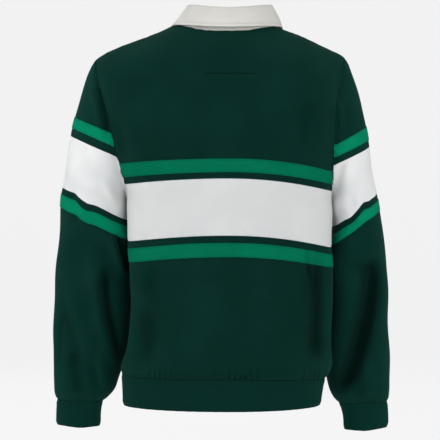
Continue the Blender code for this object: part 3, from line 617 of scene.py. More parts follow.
# %% Work out the body's rows
def half_row(edge, middle, opposite_y, widest, fall):
    """Points of a row from its edge to the middle line, on a superellipse in plan."""
    reach = middle[1] - widest
    ahead = (edge[1] - widest) / reach
    other = opposite_y - widest
    share = ahead if ahead >= 0 else (edge[1] - widest) / other
    start = math.asin(min(share, 1.0) ** (CURVE_POWER / 2))
    start = start if ahead >= 0 else -start
    half_width = abs(edge[0]) / math.cos(start) ** (2 / CURVE_POWER)
    side = math.copysign(1.0, edge[0])
    row = []
    for column in range(HALF_COLUMNS + 1):
        turn = start + (math.pi / 2 - start) * column / HALF_COLUMNS
        x = half_width * max(math.cos(turn), 0.0) ** (2 / CURVE_POWER)
        y = abs(math.sin(turn)) ** (2 / CURVE_POWER)
        y = widest + (reach if turn >= 0 else other) * y
        even = max(1 - (x / abs(edge[0])) ** 2, 0.0)
        late = max((y - edge[1]) / (middle[1] - edge[1]), 0.0) ** YOKE_FALL_POWER
        z = edge[2] + (middle[2] - edge[2]) * (even * (1 - fall) + late * fall)
        row.append((side * x, y, z))
    row[0] = tuple(edge)
    row[-1] = (0.0, middle[1], middle[2])
    return row


def seam_point(shoulder, z):
    """A point of the side seam, which lies a little in front of the widest place."""
    girth = fair(GIRTHS, shoulder.word, z)
    widest = fair(GIRTHS, "widest", z)
    share = (widest - SIDE_SEAM_Y) / (widest - fair(FRONT_LINE, "y", z))
    turn = math.asin(max(share, 0.0) ** (CURVE_POWER / 2))
    return (shoulder.side * girth * math.cos(turn) ** (2 / CURVE_POWER), SIDE_SEAM_Y, z)


def shoulder_point(shoulder, share):
    x, y, z = lerp(shoulder.tip, shoulder.neck, share)
    return (shoulder.side * x, y, z)


def body_row(ends, face, middle_z, widest, fall):
    """A whole row of one face of the body, from the left edge to the right."""
    line, other = (BACK_LINE, FRONT_LINE) if face == BACK else (FRONT_LINE, BACK_LINE)
    middle = (0.0, fair(line, "y", middle_z), middle_z)
    opposite_y = fair(other, "y", middle_z)
    left, right = (half_row(end, middle, opposite_y, widest, fall) for end in ends)
    return left + right[-2::-1]


def body_levels(face):
    """One face's rows from the hem up: (strip, points, edge heights on the armholes)."""
    column = "back" if face == BACK else "front"
    levels = []
    for row in SEAM_ROWS[:-1]:
        ends = (seam_point(LEFT, row.left), seam_point(RIGHT, row.right))
        widest = fair(GIRTHS, "widest", (row.left + row.right) / 2)
        levels.append((row.strip, body_row(ends, face, getattr(row, column), widest, 0.0), None))
    for row in ARMHOLE_ROWS:
        edges = (row.left, row.right)
        ends = (armhole_point(LEFT, face, row.left), armhole_point(RIGHT, face, row.right))
        widest = fair(GIRTHS, "widest", sum(edges) / 2)
        if row is ARMHOLE_ROWS[-1]:
            widest = LEFT.tip[1] - face * TIP_LEAVES
        points = body_row(ends, face, getattr(row, column), widest, row.fall)
        levels.append((row.strip, points, edges))
    for row in SHOULDER_ROWS[1:]:
        ends = (shoulder_point(LEFT, row.share), shoulder_point(RIGHT, row.share))
        points = body_row(ends, face, getattr(row, column), float(ends[0][1]), 1.0)
        levels.append(("upper", points, None))
    return levels


# %% Work out the sleeves' rows
def closed_ring(shoulder, outer_z, inner_z, inner_end=None):
    """A ring of the sleeve below the underarm, from its inner line round the front."""
    middle_z = (outer_z + inner_z) / 2
    outer_x = fair(OUTER[shoulder.word], "x", outer_z)
    inner_x = fair(INNER[shoulder.word], "x", inner_z)
    depth = DEPTH[shoulder.word]
    y = fair(depth, "y", middle_z)
    out_point = np.array((shoulder.side * outer_x, y, outer_z))
    in_point = np.array(inner_end or (shoulder.side * inner_x, y, inner_z))
    centre = (out_point + in_point) / 2
    across = (out_point - in_point) / 2
    back = np.array((0.0, fair(depth, "half", middle_z), 0.0))
    power = 2 / fair(SLEEVE_POWERS, "power", middle_z)
    ring = []
    for column in range(SLEEVE_COLUMNS + 1):
        turn = -math.pi + 2 * math.pi * column / SLEEVE_COLUMNS
        over = math.copysign(abs(math.cos(turn)) ** power, math.cos(turn))
        behind = math.copysign(abs(math.sin(turn)) ** power, math.sin(turn))
        ring.append(tuple(centre + across * over + back * behind))
    ring[0] = ring[-1] = tuple(in_point)
    return ring


def open_arc(shoulder, arc):
    """A row above the underarm, from the front armhole over the outer line to the back."""
    x = shoulder.side * fair(OUTER[shoulder.word], "x", arc.outer)
    out_point = np.array((x, fair(DEPTH[shoulder.word], "y", arc.outer), arc.outer))
    front = np.array(armhole_point(shoulder, FRONT, arc.armhole))
    back = np.array(armhole_point(shoulder, BACK, arc.armhole))
    reach = math.radians(arc.reach)
    across = (out_point - (front + back) / 2) / (1 - math.cos(reach))
    centre = out_point - across
    depthwise = (back - front) / (2 * math.sin(reach))
    row = []
    for column in range(SLEEVE_COLUMNS + 1):
        turn = reach * (2 * column / SLEEVE_COLUMNS - 1)
        row.append(tuple(centre + across * math.cos(turn) + depthwise * math.sin(turn)))
    row[0] = tuple(front)
    row[-1] = tuple(back)
    return row


def sleeve_levels(shoulder):
    """The sleeve's rows from the cuff's edge up: (strip, points, armhole height)."""
    levels = []
    for ring in RINGS[shoulder.word]:
        levels.append((ring.strip, closed_ring(shoulder, ring.outer, ring.inner), None))
    underarm = armhole_point(shoulder, BACK, shoulder.underarm_z)
    ring = closed_ring(shoulder, shoulder.underarm_outer, shoulder.underarm_z, underarm)
    levels.append(("sleeve_band", ring, shoulder.underarm_z))
    for arc in ARCS[shoulder.word]:
        levels.append((arc.strip, open_arc(shoulder, arc), arc.armhole))
    heights = head_heights(shoulder)
    front = [armhole_point(shoulder, FRONT, z) for z in heights]
    back = [armhole_point(shoulder, BACK, z) for z in heights]
    levels.append(("sleeve_head", front[::-1] + back[1:], heights[-1]))
    return levels


# %% Collect the faces of the skin
SAME_POINT = 1e-6  # places that round to the same multiple of this are one point


class Skin:
    """Points shared by position, and faces with their piece, part and cloth measure."""

    def __init__(self):
        self.points = []
        self.index = {}
        self.faces = []

    def point(self, place):
        key = tuple(round(value / SAME_POINT) for value in place)
        if key not in self.index:
            self.index[key] = len(self.points)
            self.points.append(tuple(float(value) for value in place))
        return self.index[key]

    def face(self, corners, piece, part, flip):
        """corners holds (place, cloth measure) all round. Doubled corners are dropped."""
        loop = []
        for place, measure in corners:
            index = self.point(place)
            if index not in [known for known, _ in loop]:
                loop.append((index, measure))
        self.faces.append((loop[::-1] if flip else loop, piece, part))


# %% Measure the cloth along its rows
def measured(levels):
    """Each row's points with their cloth measure: across from the middle, and up."""
    rows, before, up = [], None, 0.0
    for _, points, _ in levels:
        places = np.array(points)
        steps = np.linalg.norm(np.diff(places, axis=0), axis=1)
        across = np.concatenate([[0.0], np.cumsum(steps)])
        across -= across[len(across) // 2]
        before = places if before is None else before
        up = up + np.linalg.norm(places - before, axis=1)
        rows.append(list(zip(points, zip(across.tolist(), up.tolist()))))
        before = places
    return rows


# %% [markdown]
# A row of the body and one of the sleeve seldom meet the armhole at the same height. So a
# face that ends there takes up every point that its neighbour has on that edge, and the
# skin stays whole.

# %% Join the faces along the armholes
def quad(low, high, i):
    """A face's corners between two rows: two of the low row, then two of the high one."""
    return [low[i], low[i + 1], high[i + 1], high[i]]


def armhole_corners(shoulder, face, heights, low, high):
    """The extra corners of a face that ends on an armhole, from its high end down."""
    found = between(shoulder, face, *heights)
    return [(place, tuple(lerp(low[1], high[1], share).tolist())) for place, share in found]


def add_body(skin, face, side):
    levels = body_levels(face)
    rows = measured(levels)
    for row, (low, high) in enumerate(zip(rows, rows[1:])):
        strip, _, low_ends = levels[row]
        high_ends = levels[row + 1][2]
        piece = strip if strip == "hem_rib" else f"{side}_{strip}"
        heights = list(zip(low_ends, high_ends)) if low_ends and high_ends else None
        for i in range(2 * HALF_COLUMNS):
            loop = quad(low, high, i)
            if heights and i == 0:
                loop += armhole_corners(LEFT, face, heights[0], low[0], high[0])
            if heights and i == 2 * HALF_COLUMNS - 1:
                loop[2:2] = armhole_corners(RIGHT, face, heights[1], low[-1], high[-1])[::-1]
            skin.face(loop, piece, side, face == FRONT)


def add_sleeve(skin, shoulder):
    levels = sleeve_levels(shoulder)
    rows = measured(levels)
    for row, (low, high) in enumerate(zip(rows, rows[1:])):
        strip, _, low_end = levels[row]
        heights = (low_end, levels[row + 1][2])
        for i in range(SLEEVE_COLUMNS):
            loop = quad(low, high, i)
            if row == len(rows) - 2:
                face = FRONT if i < HEAD_STEPS else BACK
                head = sorted((high[i][0][2], high[i + 1][0][2]))
                extra = armhole_corners(shoulder, face, head, *high[i : i + 2][::-face])
                loop[3:3] = extra[::-face]
            if low_end is not None and i == 0:
                loop += armhole_corners(shoulder, FRONT, heights, low[0], high[0])
            if low_end is not None and i == SLEEVE_COLUMNS - 1:
                loop[2:2] = armhole_corners(shoulder, BACK, heights, low[-1], high[-1])[::-1]
            skin.face(loop, f"{shoulder.word}_{strip}", shoulder.word, shoulder is RIGHT)


skin = Skin()
add_body(skin, BACK, "back")
add_body(skin, FRONT, "front")
add_sleeve(skin, LEFT)
add_sleeve(skin, RIGHT)
print("coarse skin:", len(skin.points), "points,", len(skin.faces), "faces")

# %% [markdown]
# ## From coarse skin to smooth cloth
#
# A subdivision surface turns the coarse rows into an even, smooth skin. The faces keep the
# number of their piece, and the cloth's measure is carried along, so the pieces can be cut
# out again afterwards. Until then all creases run over the seams as real ones do.

# %% Subdivide the skin
SMOOTH_LEVELS = 2


def alone(thing):
    """Makes one object the only selected one, and the active one."""
    bpy.ops.object.select_all(action="DESELECT")
    thing.select_set(True)
    bpy.context.view_layer.objects.active = thing


def write_map(mesh, name, values):
    """Adds a UV map from an array of one row for each face corner."""
    layer = mesh.uv_layers.new(name=name)
    layer.data.foreach_set("uv", np.asarray(values, np.float32).ravel())


def read(data, field, width, kind=np.float64):
    values = np.empty(len(data) * width, kind)
    data.foreach_get(field, values)
    return values.reshape(-1, width) if width > 1 else values


def apply_modifier(thing, kind, **settings):
    modifier = thing.modifiers.new(kind.lower(), kind)
    for name, value in settings.items():
        setattr(modifier, name, value)
    alone(thing)
    bpy.ops.object.modifier_apply(modifier=modifier.name)


STRIPS = sorted({piece for _, piece, _ in skin.faces})
whole = mesh_object("skin", skin.points, [[i for i, _ in loop] for loop, _, _ in skin.faces])
write_map(whole.data, "cloth", [measure for loop, _, _ in skin.faces for _, measure in loop])
for _ in STRIPS:
    whole.data.materials.append(None)
numbers = [STRIPS.index(piece) for _, piece, _ in skin.faces]
whole.data.polygons.foreach_set("material_index", numbers)
apply_modifier(whole, "SUBSURF", levels=SMOOTH_LEVELS, render_levels=SMOOTH_LEVELS)

place = read(whole.data.vertices, "co", 3)
normal = read(whole.data.vertex_normals, "vector", 3)
faces = read(whole.data.loops, "vertex_index", 1, np.int32).reshape(-1, 4)
face_strip = read(whole.data.polygons, "material_index", 1, np.int32)
corner_measure = read(whole.data.uv_layers["cloth"].data, "uv", 2).reshape(-1, 4, 2)
bpy.data.objects.remove(whole, do_unlink=True)
print("smooth skin:", len(place), "points,", len(faces), "faces")

# %% [markdown]
# ## Pushes
#
# Some places leave the fair lines: the lower stripes of each sleeve step down at a fold, and
# the neck seam is higher on one side. Each push moves the cloth up or down near a point, and
# fades with distance, as proportional editing does with the mouse.

# %% Push the skin
Push = namedtuple("Push", "part side x z reach_x reach_z up")
PUSHES = table(
    Push,
    "left back",
    (0.269, -0.31, 0.007, 0.03, 0.0016), (0.25, -0.32, 0.011, 0.032, -0.0046),
    "right back",
    (-0.233, -0.315, 0.0095, 0.03, 0.0062), (-0.213, -0.325, 0.01, 0.032, -0.0034),
    "body back",
    (-0.07, -0.002, 0.032, 0.015, 0.0065),
    "left back",
    (0.268, -0.715, 0.02, 0.012, -0.0022),
    "right back",
    (-0.245, -0.718, 0.02, 0.012, -0.0022),
)
PARTS = ("back", "front", "left", "right")
RIBS = ("hem_rib", "left_cuff", "right_cuff")
TURNED_AWAY = -0.05  # a normal's Y from which cloth starts to belong to the side it faces
TURNED_TO = 0.45


def step_up(value, low, high):
    """0 below `low`, 1 above `high`, and smooth between them."""
    share = np.clip((value - low) / (high - low), 0.0, 1.0)
    return share * share * (3 - 2 * share)


def touched(chosen):
    """1 at every point of the chosen faces, and 0 elsewhere."""
    mask = np.zeros(len(place))
    mask[faces[chosen].ravel()] = 1.0
    return mask


def share_of(mark):
    """How far each point belongs to the part and side that a push or crease is for."""
    toward = BACK if mark.side == "back" else FRONT
    return ON_PART[mark.part] * step_up(toward * normal[:, 1], TURNED_AWAY, TURNED_TO)


part_of = {piece: part for _, piece, part in skin.faces if piece != "hem_rib"}
part_of["hem_rib"] = "back"
face_part = np.array([PARTS.index(part_of[strip]) for strip in STRIPS])[face_strip]
ON_PART = {part: touched(face_part == number) for number, part in enumerate(PARTS)}
ON_PART["body"] = np.maximum(ON_PART["back"], ON_PART["front"])
on_rib = touched(np.isin(face_strip, [STRIPS.index(name) for name in RIBS]))

for push in PUSHES:
    aside = (place[:, 0] - push.x) / push.reach_x
    above = (place[:, 2] - push.z) / push.reach_z
    place[:, 2] += np.exp(-(aside**2 + above**2)) * share_of(push) * push.up
print("pushes:", len(PUSHES))

# %% [markdown]
# ## Where the seams are
#
# Every effect beside a seam needs to know how far away the seam is: the shallow valley that
# a sewn seam leaves, the puckers along it and the rows of stitches. The distance to the
# nearest seam is looked up among points set closely along all seams.

# %% Measure the distance to the seams
SEAM_SAMPLE = 0.0006  # between the points along a seam


def panel_of(strip):
    """The panel that a strip of faces belongs to: a tape's strip is part of its panel."""
    return strip.replace("sleeve_upper_tape", "sleeve_head").replace("_tape", "")


def border_edges(loops):
    """The edges with only one of these faces, as pairs of points."""
    pairs = np.concatenate([loops[:, [i, (i + 1) % 4]] for i in range(4)])
    key = np.sort(pairs, axis=1)
    _, first, count = np.unique(key, axis=0, return_index=True, return_counts=True)
    return pairs[first[count == 1]]


def along_border(edges, points):
    """Closely set points on border edges, each with how far along its chain it lies."""
    follow = {int(a): int(b) for a, b in edges}
    starts = set(follow) - set(follow.values())
    samples = []
    done = set()
    for first in sorted(starts) + sorted(follow):
        at, run = first, 0.0
        while at in follow and at not in done:
            done.add(at)
            step = points[follow[at]] - points[at]
            length = float(np.linalg.norm(step))
            count = max(math.ceil(length / SEAM_SAMPLE), 1)
            for i in range(count):
                samples.append((*(points[at] + step * i / count), run + length * i / count))
            run += length
            at = follow[at]
    return np.array(samples)


def to_border(samples, points):
    """For each point, its distance to the nearest sample and that sample's run."""
    tree = kdtree.KDTree(len(samples))
    for i, sample in enumerate(samples):
        tree.insert(sample[:3], i)
    tree.balance()
    found = [tree.find(point) for point in points]
    return np.array([(distance, samples[i][3]) for _, i, distance in found])


PANELS = sorted({panel_of(strip) for strip in STRIPS})
face_panel = np.array([PANELS.index(panel_of(strip)) for strip in STRIPS])[face_strip]
seam_samples = []
for number in range(len(PANELS)):
    seam_samples.append(along_border(border_edges(faces[face_panel == number]), place))
seam_samples = np.concatenate(seam_samples)
to_seam = to_border(seam_samples, place)[:, 0]
print("panels:", len(PANELS), "seam length:", round(len(seam_samples) * SEAM_SAMPLE, 1), "m")

# %% [markdown]
# ## Folds, placed one by one
#
# With nobody in it, the cloth still holds the creases of wearing. Each is a soft ridge with
# a trough at one side, along a slightly bowed line, or the other way round. The table gives
# where it starts and ends, how wide and deep it is, how far it bows, and in the end how deep
# the second line is beside the first. The words before the rows say what they are on.

# %% Write down the folds
SECOND_LINE = 0.7  # its depth as a share of the first's
SECOND_OFFSET = 1.6  # of the width, from the first line to the second
FOLD_ENDS = 0.22  # of its length, over which a fold fades at each end
COLUMNS = "part side x0 z0 x1 z1 width depth bow second"
Fold = namedtuple("Fold", COLUMNS, defaults=(SECOND_LINE,))
FOLDS = table(
    Fold,
    "left back",
    (0.2385, -0.125, 0.2335, -0.06, 0.006, 0.0024, 0.0),
    (0.229, -0.1, 0.209, -0.2, 0.0065, -0.0058, -0.001),
    (0.22, -0.27, 0.186, -0.33, 0.008, 0.002, 0.002),
    (0.199, -0.36, 0.175, -0.44, 0.0065, -0.008, 0.0),
    (0.22, -0.415, 0.185, -0.604, 0.01, -0.0078, 0.0095),
    (0.233, -0.47, 0.25, -0.375, 0.014, 0.003, 0.0),
    (0.296, -0.5, 0.3, -0.61, 0.006, -0.0022, 0.002),
    (0.29, -0.45, 0.24, -0.61, 0.014, 0.003, -0.006),
    (0.23, -0.56, 0.215, -0.65, 0.009, 0.003, 0.003),
    (0.275, -0.57, 0.265, -0.655, 0.01, -0.003, 0.003),
    (0.285, -0.24, 0.245, -0.29, 0.011, 0.0018, 0.003),
    (0.266, -0.278, 0.252, -0.348, 0.007, 0.003, 0.002),
    "right back",
    (-0.2, -0.125, -0.207, -0.18, 0.0085, -0.0022, -0.002),
    (-0.208, -0.07, -0.216, -0.13, 0.01, 0.0015, -0.003),
    (-0.223, -0.29, -0.229, -0.36, 0.007, 0.0028, -0.002),
    (-0.2, -0.235, -0.185, -0.31, 0.008, -0.0035, 0.003),
    (-0.257, -0.396, -0.194, -0.662, 0.0125, -0.0125, -0.014, 0.15),
    (-0.244, -0.39, -0.184, -0.66, 0.02, -0.0066, -0.016, 0.2),
    (-0.256, -0.426, -0.196, -0.418, 0.012, -0.0014, 0.0),
    (-0.19, -0.39, -0.185, -0.455, 0.009, 0.003, 0.003),
    (-0.245, -0.58, -0.25, -0.66, 0.009, 0.003, 0.003),
    "body back",
    (-0.132, -0.382, -0.137, -0.438, 0.004, -0.0014, 0.001),
    (-0.144, -0.386, -0.148, -0.446, 0.0045, 0.0016, 0.001),
    (-0.153, -0.595, -0.151, -0.385, 0.018, -0.008, 0.0),
    (-0.187, -0.2, -0.193, -0.085, 0.0035, 0.0014, 0.0),
    (0.165, -0.33, 0.135, -0.52, 0.016, 0.003, 0.008),
    (0.144, -0.4, 0.142, -0.6, 0.018, -0.0045, 0.0),
    (-0.17, -0.13, -0.15, -0.23, 0.015, 0.002, 0.005),
    (0.185, -0.14, 0.16, -0.25, 0.015, 0.0022, -0.005),
    "body front",
    (0.16, -0.31, 0.09, -0.39, 0.016, 0.0035, 0.01),
    (-0.16, -0.315, -0.1, -0.38, 0.016, 0.0035, -0.01),
    (0.15, -0.39, 0.13, -0.57, 0.017, -0.0035, 0.008),
    (-0.15, -0.4, -0.135, -0.58, 0.017, 0.0035, 0.008),
    (0.06, -0.46, 0.045, -0.6, 0.018, 0.002, 0.006),
    (0.19, -0.12, 0.135, -0.21, 0.015, 0.0025, 0.008),
    (-0.18, -0.12, -0.13, -0.215, 0.015, 0.0025, -0.008),
    "left front",
    (0.195, -0.37, 0.285, -0.41, 0.011, 0.0045, 0.006),
    (0.185, -0.42, 0.275, -0.45, 0.011, -0.005, 0.006),
    (0.195, -0.48, 0.295, -0.56, 0.013, 0.0045, 0.01),
    (0.23, -0.57, 0.245, -0.65, 0.01, 0.003, 0.003),
    (0.225, -0.1, 0.215, -0.19, 0.008, -0.003, 0.003),
    "right front",
    (-0.19, -0.37, -0.26, -0.415, 0.011, 0.0045, -0.006),
    (-0.185, -0.43, -0.26, -0.465, 0.011, -0.005, -0.006),
    (-0.19, -0.49, -0.275, -0.57, 0.013, 0.0045, -0.01),
    (-0.22, -0.575, -0.235, -0.655, 0.01, 0.003, 0.003),
    (-0.2, -0.1, -0.195, -0.19, 0.008, -0.003, 0.003),
)
print("folds:", len(FOLDS))

# %% [markdown]
# ## Gathers above the ribs
#
# A rib is sewn on stretched, so the looser cloth above it gathers into short upright waves
# and bulges over the seam. They are uneven: each group has its own middle, reach and depth.

# %% Write down the gathers
RIB_SEAM_Z = {"body": -0.6150, "left": -0.6680, "right": -0.6720}
GATHER_RISE = 0.012  # how far up the cloth they fade
GATHER_START = -0.012  # from the rib's seam, where they begin
GATHER_FULL = 0.006
GATHER_SWELL = 0.4  # of the depth, by which the cloth between the troughs stands out
TROUGH_SHARPNESS = 1.6
UNEVEN_TURN = 1.3  # how far the waves run ahead and fall behind, and how often
UNEVEN_RATE = 3.1
Gather = namedtuple("Gather", "part side x reach pitch depth")
GATHERS = table(
    Gather,
    "body back",
    (0.119, 0.024, 0.01, 0.0046), (-0.018, 0.036, 0.0105, 0.0046), (-0.147, 0.02, 0.01, 0.0046),
    (0.06, 0.03, 0.015, 0.0012), (-0.095, 0.03, 0.014, 0.0012),
    "body front",
    (0.11, 0.035, 0.013, 0.0015), (0.01, 0.05, 0.015, 0.0013), (-0.105, 0.038, 0.0125, 0.0016),
    "left back",
    (0.27, 0.045, 0.011, 0.0016),
    "left front",
    (0.265, 0.045, 0.012, 0.0018),
    "right back",
    (-0.247, 0.042, 0.011, 0.0016),
    "right front",
    (-0.245, 0.042, 0.012, 0.0018),
)


# %% Work out the height of a fold and of a gather
def fold_height(fold):
    run = np.array((fold.x1 - fold.x0, fold.z1 - fold.z0))
    length = np.linalg.norm(run)
    run = run / length
    away = place[:, [0, 2]] - (fold.x0, fold.z0)
    share = away @ run / length
    bowed = fold.bow * 4 * share * (1 - share)  # 4, so that it is the whole bow halfway
    across = away @ np.array((-run[1], run[0])) - bowed
    fade = step_up(share, 0.0, FOLD_ENDS) * step_up(1 - share, 0.0, FOLD_ENDS)
    first = np.exp(-((across / fold.width) ** 2))
    second = np.exp(-((across / fold.width - SECOND_OFFSET) ** 2))
    return fold.depth * fade * (first - fold.second * second)


def gather_height(gather):
    aside = place[:, 0] - gather.x
    away = aside / gather.reach
    turns = 2 * math.pi * aside / gather.pitch + UNEVEN_TURN * np.sin(UNEVEN_RATE * away)
    wave = GATHER_SWELL - np.exp(TROUGH_SHARPNESS * (np.cos(turns) - 1))
    up = place[:, 2] - RIB_SEAM_Z[gather.part]
    rise = step_up(up, GATHER_START, GATHER_FULL) * np.exp(-np.maximum(up, 0.0) / GATHER_RISE)
    return gather.depth * np.exp(-(away**2)) * wave * rise


# %% [markdown]
# Two smaller things go over all of it: slow swells, since worn cloth is never quite even,
# and puckers beside the seams, where the thread pulls the cloth together in a valley.

# %% Name the swells, the puckers and the valleys
Swell = namedtuple("Swell", "x y z phase height")  # wave numbers a metre, and metres
SOFT_SWELLS = table(
    Swell,
    (38.0, 21.0, 17.0, 0.4, 0.0010), (-23.0, 30.0, 41.0, 2.1, 0.0009),
    (61.0, -35.0, 33.0, 4.4, 0.0005), (-47.0, 52.0, -68.0, 1.2, 0.0004),
)
PUCKERS = table(Swell, (410.0, 230.0, 370.0, 0.0, 0.0003), (-250.0, 340.0, 290.0, 0.0, 0.0003))
PUCKER_WIDTH = 0.010
SEAM_VALLEY = 0.0006
SEAM_VALLEY_WIDTH = 0.0038
RIB_VALLEY = 0.0016  # more, beside the ribs
RIB_VALLEY_START = 0.590  # metres below the neck seam
RIB_VALLEY_FULL = 0.605
RIB_STIFFNESS = 0.85  # the share of each crease that doesn't reach into a rib
FOLD_HOLLOW = 0.0072  # depths at which a crease counts as wholly in the shade
GATHER_HOLLOW = 0.0011


def swell_height(swells):
    waves = ((np.array((s.x, s.y, s.z)), s.phase, s.height) for s in swells)
    return sum(height * np.sin(place @ along + phase) for along, phase, height in waves)


# %% Crease the skin
folded = sum(fold_height(fold) * share_of(fold) for fold in FOLDS)
gathered = sum(gather_height(gather) * share_of(gather) for gather in GATHERS)
# How deep each point lies in a crease or a gather. The finishes paint shade there.
hollow = np.clip(-folded / FOLD_HOLLOW, 0.0, 1.0)
hollow += np.clip(-gathered / GATHER_HOLLOW, 0.0, 1.0)
hollow = np.clip(hollow, 0.0, 1.0) * (1.0 - on_rib)
height = (folded + gathered + swell_height(SOFT_SWELLS)) * (1.0 - on_rib * RIB_STIFFNESS)
beside_rib = step_up(-place[:, 2], RIB_VALLEY_START, RIB_VALLEY_FULL)
height -= (SEAM_VALLEY + RIB_VALLEY * beside_rib) * np.exp(-((to_seam / SEAM_VALLEY_WIDTH) ** 2))
height += swell_height(PUCKERS) * np.exp(-((to_seam / PUCKER_WIDTH) ** 2))
place = place + normal * height[:, None]
extremes = [round(float(1000 * value), 1) for value in (height.min(), height.max())]
print("deepest and highest crease, mm:", extremes)

# %% [markdown]
# ## Materials
#
# The body cloth is brushed-back fleece: a fine knit face with a soft nap, so it hardly
# shines and looks a little lighter where it turns away. Knit, ribs and twill follow the
# cloth's own measure in the UV map `cloth`. The map `seam` holds the distance from the
# piece's edge and the run along it, which places the rows of stitches. The map `hollow`
# holds how deep a crease is, and the finishes paint shade there.
#
# Every cloth starts from one base colour. A recipe lightens it towards a worn colour and
# paints shade on it, darkening it towards a share of itself, one mask after another.

# %% Write down what all cloths share
KNIT_WALE = 0.0016  # width of one column of knit stitches
KNIT_COURSE = 0.0013
KNIT_LOOP = (0.10, 0.35)  # of a course: half a loop's thickness, and its soft edge
KNIT_GAP = (0.75, 1.0)  # of half a wale: where the gap between two columns starts and ends
STITCH_PITCH = 0.0034
STITCH_HALF = 0.00035
STITCH_MIDDLE = 0.45  # of the pitch: where a stitch lies, its half length and its end's fade
STITCH_REACH = 0.30
STITCH_FADE = 0.08
FIBRE_DETAIL = 2.0
CLOUD_DETAIL = 3.0

# What a cloth is like: the scale of its clouds, which are large soft patches, where they
# start and end, and how much they lighten it; the scale of its fibres and how much those do;
# what is left of the colour under its painted shade, and how much of that is painted in its
# gaps; how far its loops and its fibres rise, as shares of the relief's depth in metres.
Weave = namedtuple(
    "Weave", "clouds low high patchy fibres fibrous dark gaps loop_rise fibre_rise relief"
)
FLEECE_WEAVE = Weave(14.0, 0.35, 0.75, 0.5, 900.0, 0.30, 0.55, 0.20, 0.5, 0.4, 0.0006)
TAPE_WEAVE = Weave(22.0, 0.35, 0.75, 0.4, 900.0, 0.30, 0.55, 0.18, 0.5, 0.3, 0.0006)
TWILL_WEAVE = Weave(18.0, 0.30, 0.75, 0.5, 1200.0, 0.30, 0.72, 0.15, 0.4, 0.3, 0.0005)
RIB_WEAVE = Weave(0.0, 0.0, 0.0, 0.0, 900.0, 0.35, 0.45, 0.15, 0.25, 0.0, 0.0004)

# A row of stitches: how far from the edge, half the channel that it pulls into the cloth and
# how softly that ends, how much painted shade goes in the channel and how much the stitches
# lighten, and how much the stitches rise and the channel sinks.
Stitching = namedtuple("Stitching", "at half soft dark light rise sink")
FLEECE_STITCHING = Stitching(0.0045, 0.0004, 0.0012, 0.25, 0.5, 1.4, 1.2)
TAPE_STITCHING = Stitching(0.0018, 0.0003, 0.0009, 0.30, 0.5, 1.4, 1.0)
TWILL_STITCHING = Stitching(0.0055, 0.0003, 0.0010, 0.15, 0.0, 0.9, 0.7)
PATCH_STITCHING = Stitching(0.0, 0.0007, 0.0011, 1.2, 0.25, 1.6, 2.2)


def colour(red, green, blue):
    return (red, green, blue, 1.0)


def times(tone, share):
    """A colour with its brightness multiplied."""
    return colour(*(value * share for value in tone[:3]))


def uneven(recipe, scale, detail=CLOUD_DETAIL):
    """Soft noise from 0 to 1 in the object's own space."""
    where = recipe.node("ShaderNodeTexCoord")["Object"]
    values = {"Vector": where, "Scale": scale, "Detail": detail}
    return recipe.node("ShaderNodeTexNoise", values=values)["Fac"]


def bump(recipe, height, size):
    return recipe.node("ShaderNodeBump", values={"Height": height, "Distance": size})["Normal"]


def dashes(run):
    """The stitches along a row, from the distance along it."""
    return (run / STITCH_PITCH).fraction().line(STITCH_MIDDLE, STITCH_REACH, STITCH_FADE)


# %% Keep a cloth's maps and its colour so far
class Cloth(Recipe):
    """A recipe for cloth: its maps in metres, its fibres, and its colour so far."""

    def __init__(self, name, base, worn, weave):
        super().__init__(name)
        self.base = self.shade = base
        self.worn = worn
        self.weave = weave
        self.across, self.up = self.map("cloth")
        self.edge, self.run = self.map("seam")
        self.hollow, _ = self.map("hollow")
        self.fibres = uneven(self, weave.fibres, FIBRE_DETAIL)

    def map(self, name):
        vector = self.node("ShaderNodeUVMap", {"uv_map": name})["UV"]
        parts = self.node("ShaderNodeSeparateXYZ", values={"Vector": vector})
        return parts["X"], parts["Y"]

    def lighten(self, mask):
        self.shade = self.mix(mask, self.shade, self.worn)

    def wear(self):
        """Lightens it in soft patches and fibre by fibre."""
        light = self.fibres * self.weave.fibrous
        if self.weave.patchy:
            clouds = uneven(self, self.weave.clouds).between(self.weave.low, self.weave.high)
            light = clouds * self.weave.patchy + light
        self.lighten(light)

    def darken(self, mask, left=None):
        """Paints shade: darkens it to what is left of the base colour, where the mask is 1."""
        self.shade = self.mix(mask, self.shade, times(self.base, left or self.weave.dark))

    def knit(self):
        """Height of a plain knit: columns of small Vs."""
        column = (self.across / KNIT_WALE).fraction()
        lean = abs(column - 0.5)
        stitch = ((self.up / KNIT_COURSE + lean).fraction() - 0.5).line(0.0, *KNIT_LOOP)
        return stitch * (1.0 - (lean * 2.0).between(*KNIT_GAP))

    def raise_loops(self, loops):
        return loops * self.weave.loop_rise + self.fibres * self.weave.fibre_rise

    def beside_edge(self, stitching):
        """The masks of a row of stitches along the piece's edge, and of its channel."""
        row = self.edge.line(stitching.at, STITCH_HALF, STITCH_HALF) * dashes(self.run)
        return row, self.edge.line(stitching.at, stitching.half, stitching.soft)

    def sew(self, raised, stitching, row, channel):
        """Draws a row of stitches with painted shade in its channel, and adds its height to what
        is raised already.
        """
        self.darken(channel * stitching.dark)
        if stitching.light:
            self.lighten(row * stitching.light)
        return raised + row * stitching.rise - channel * stitching.sink

    def done(self, raised, **values):
        normal = bump(self, raised, self.weave.relief)
        return self.finish(Base_Color=self.shade, Normal=normal, **values)
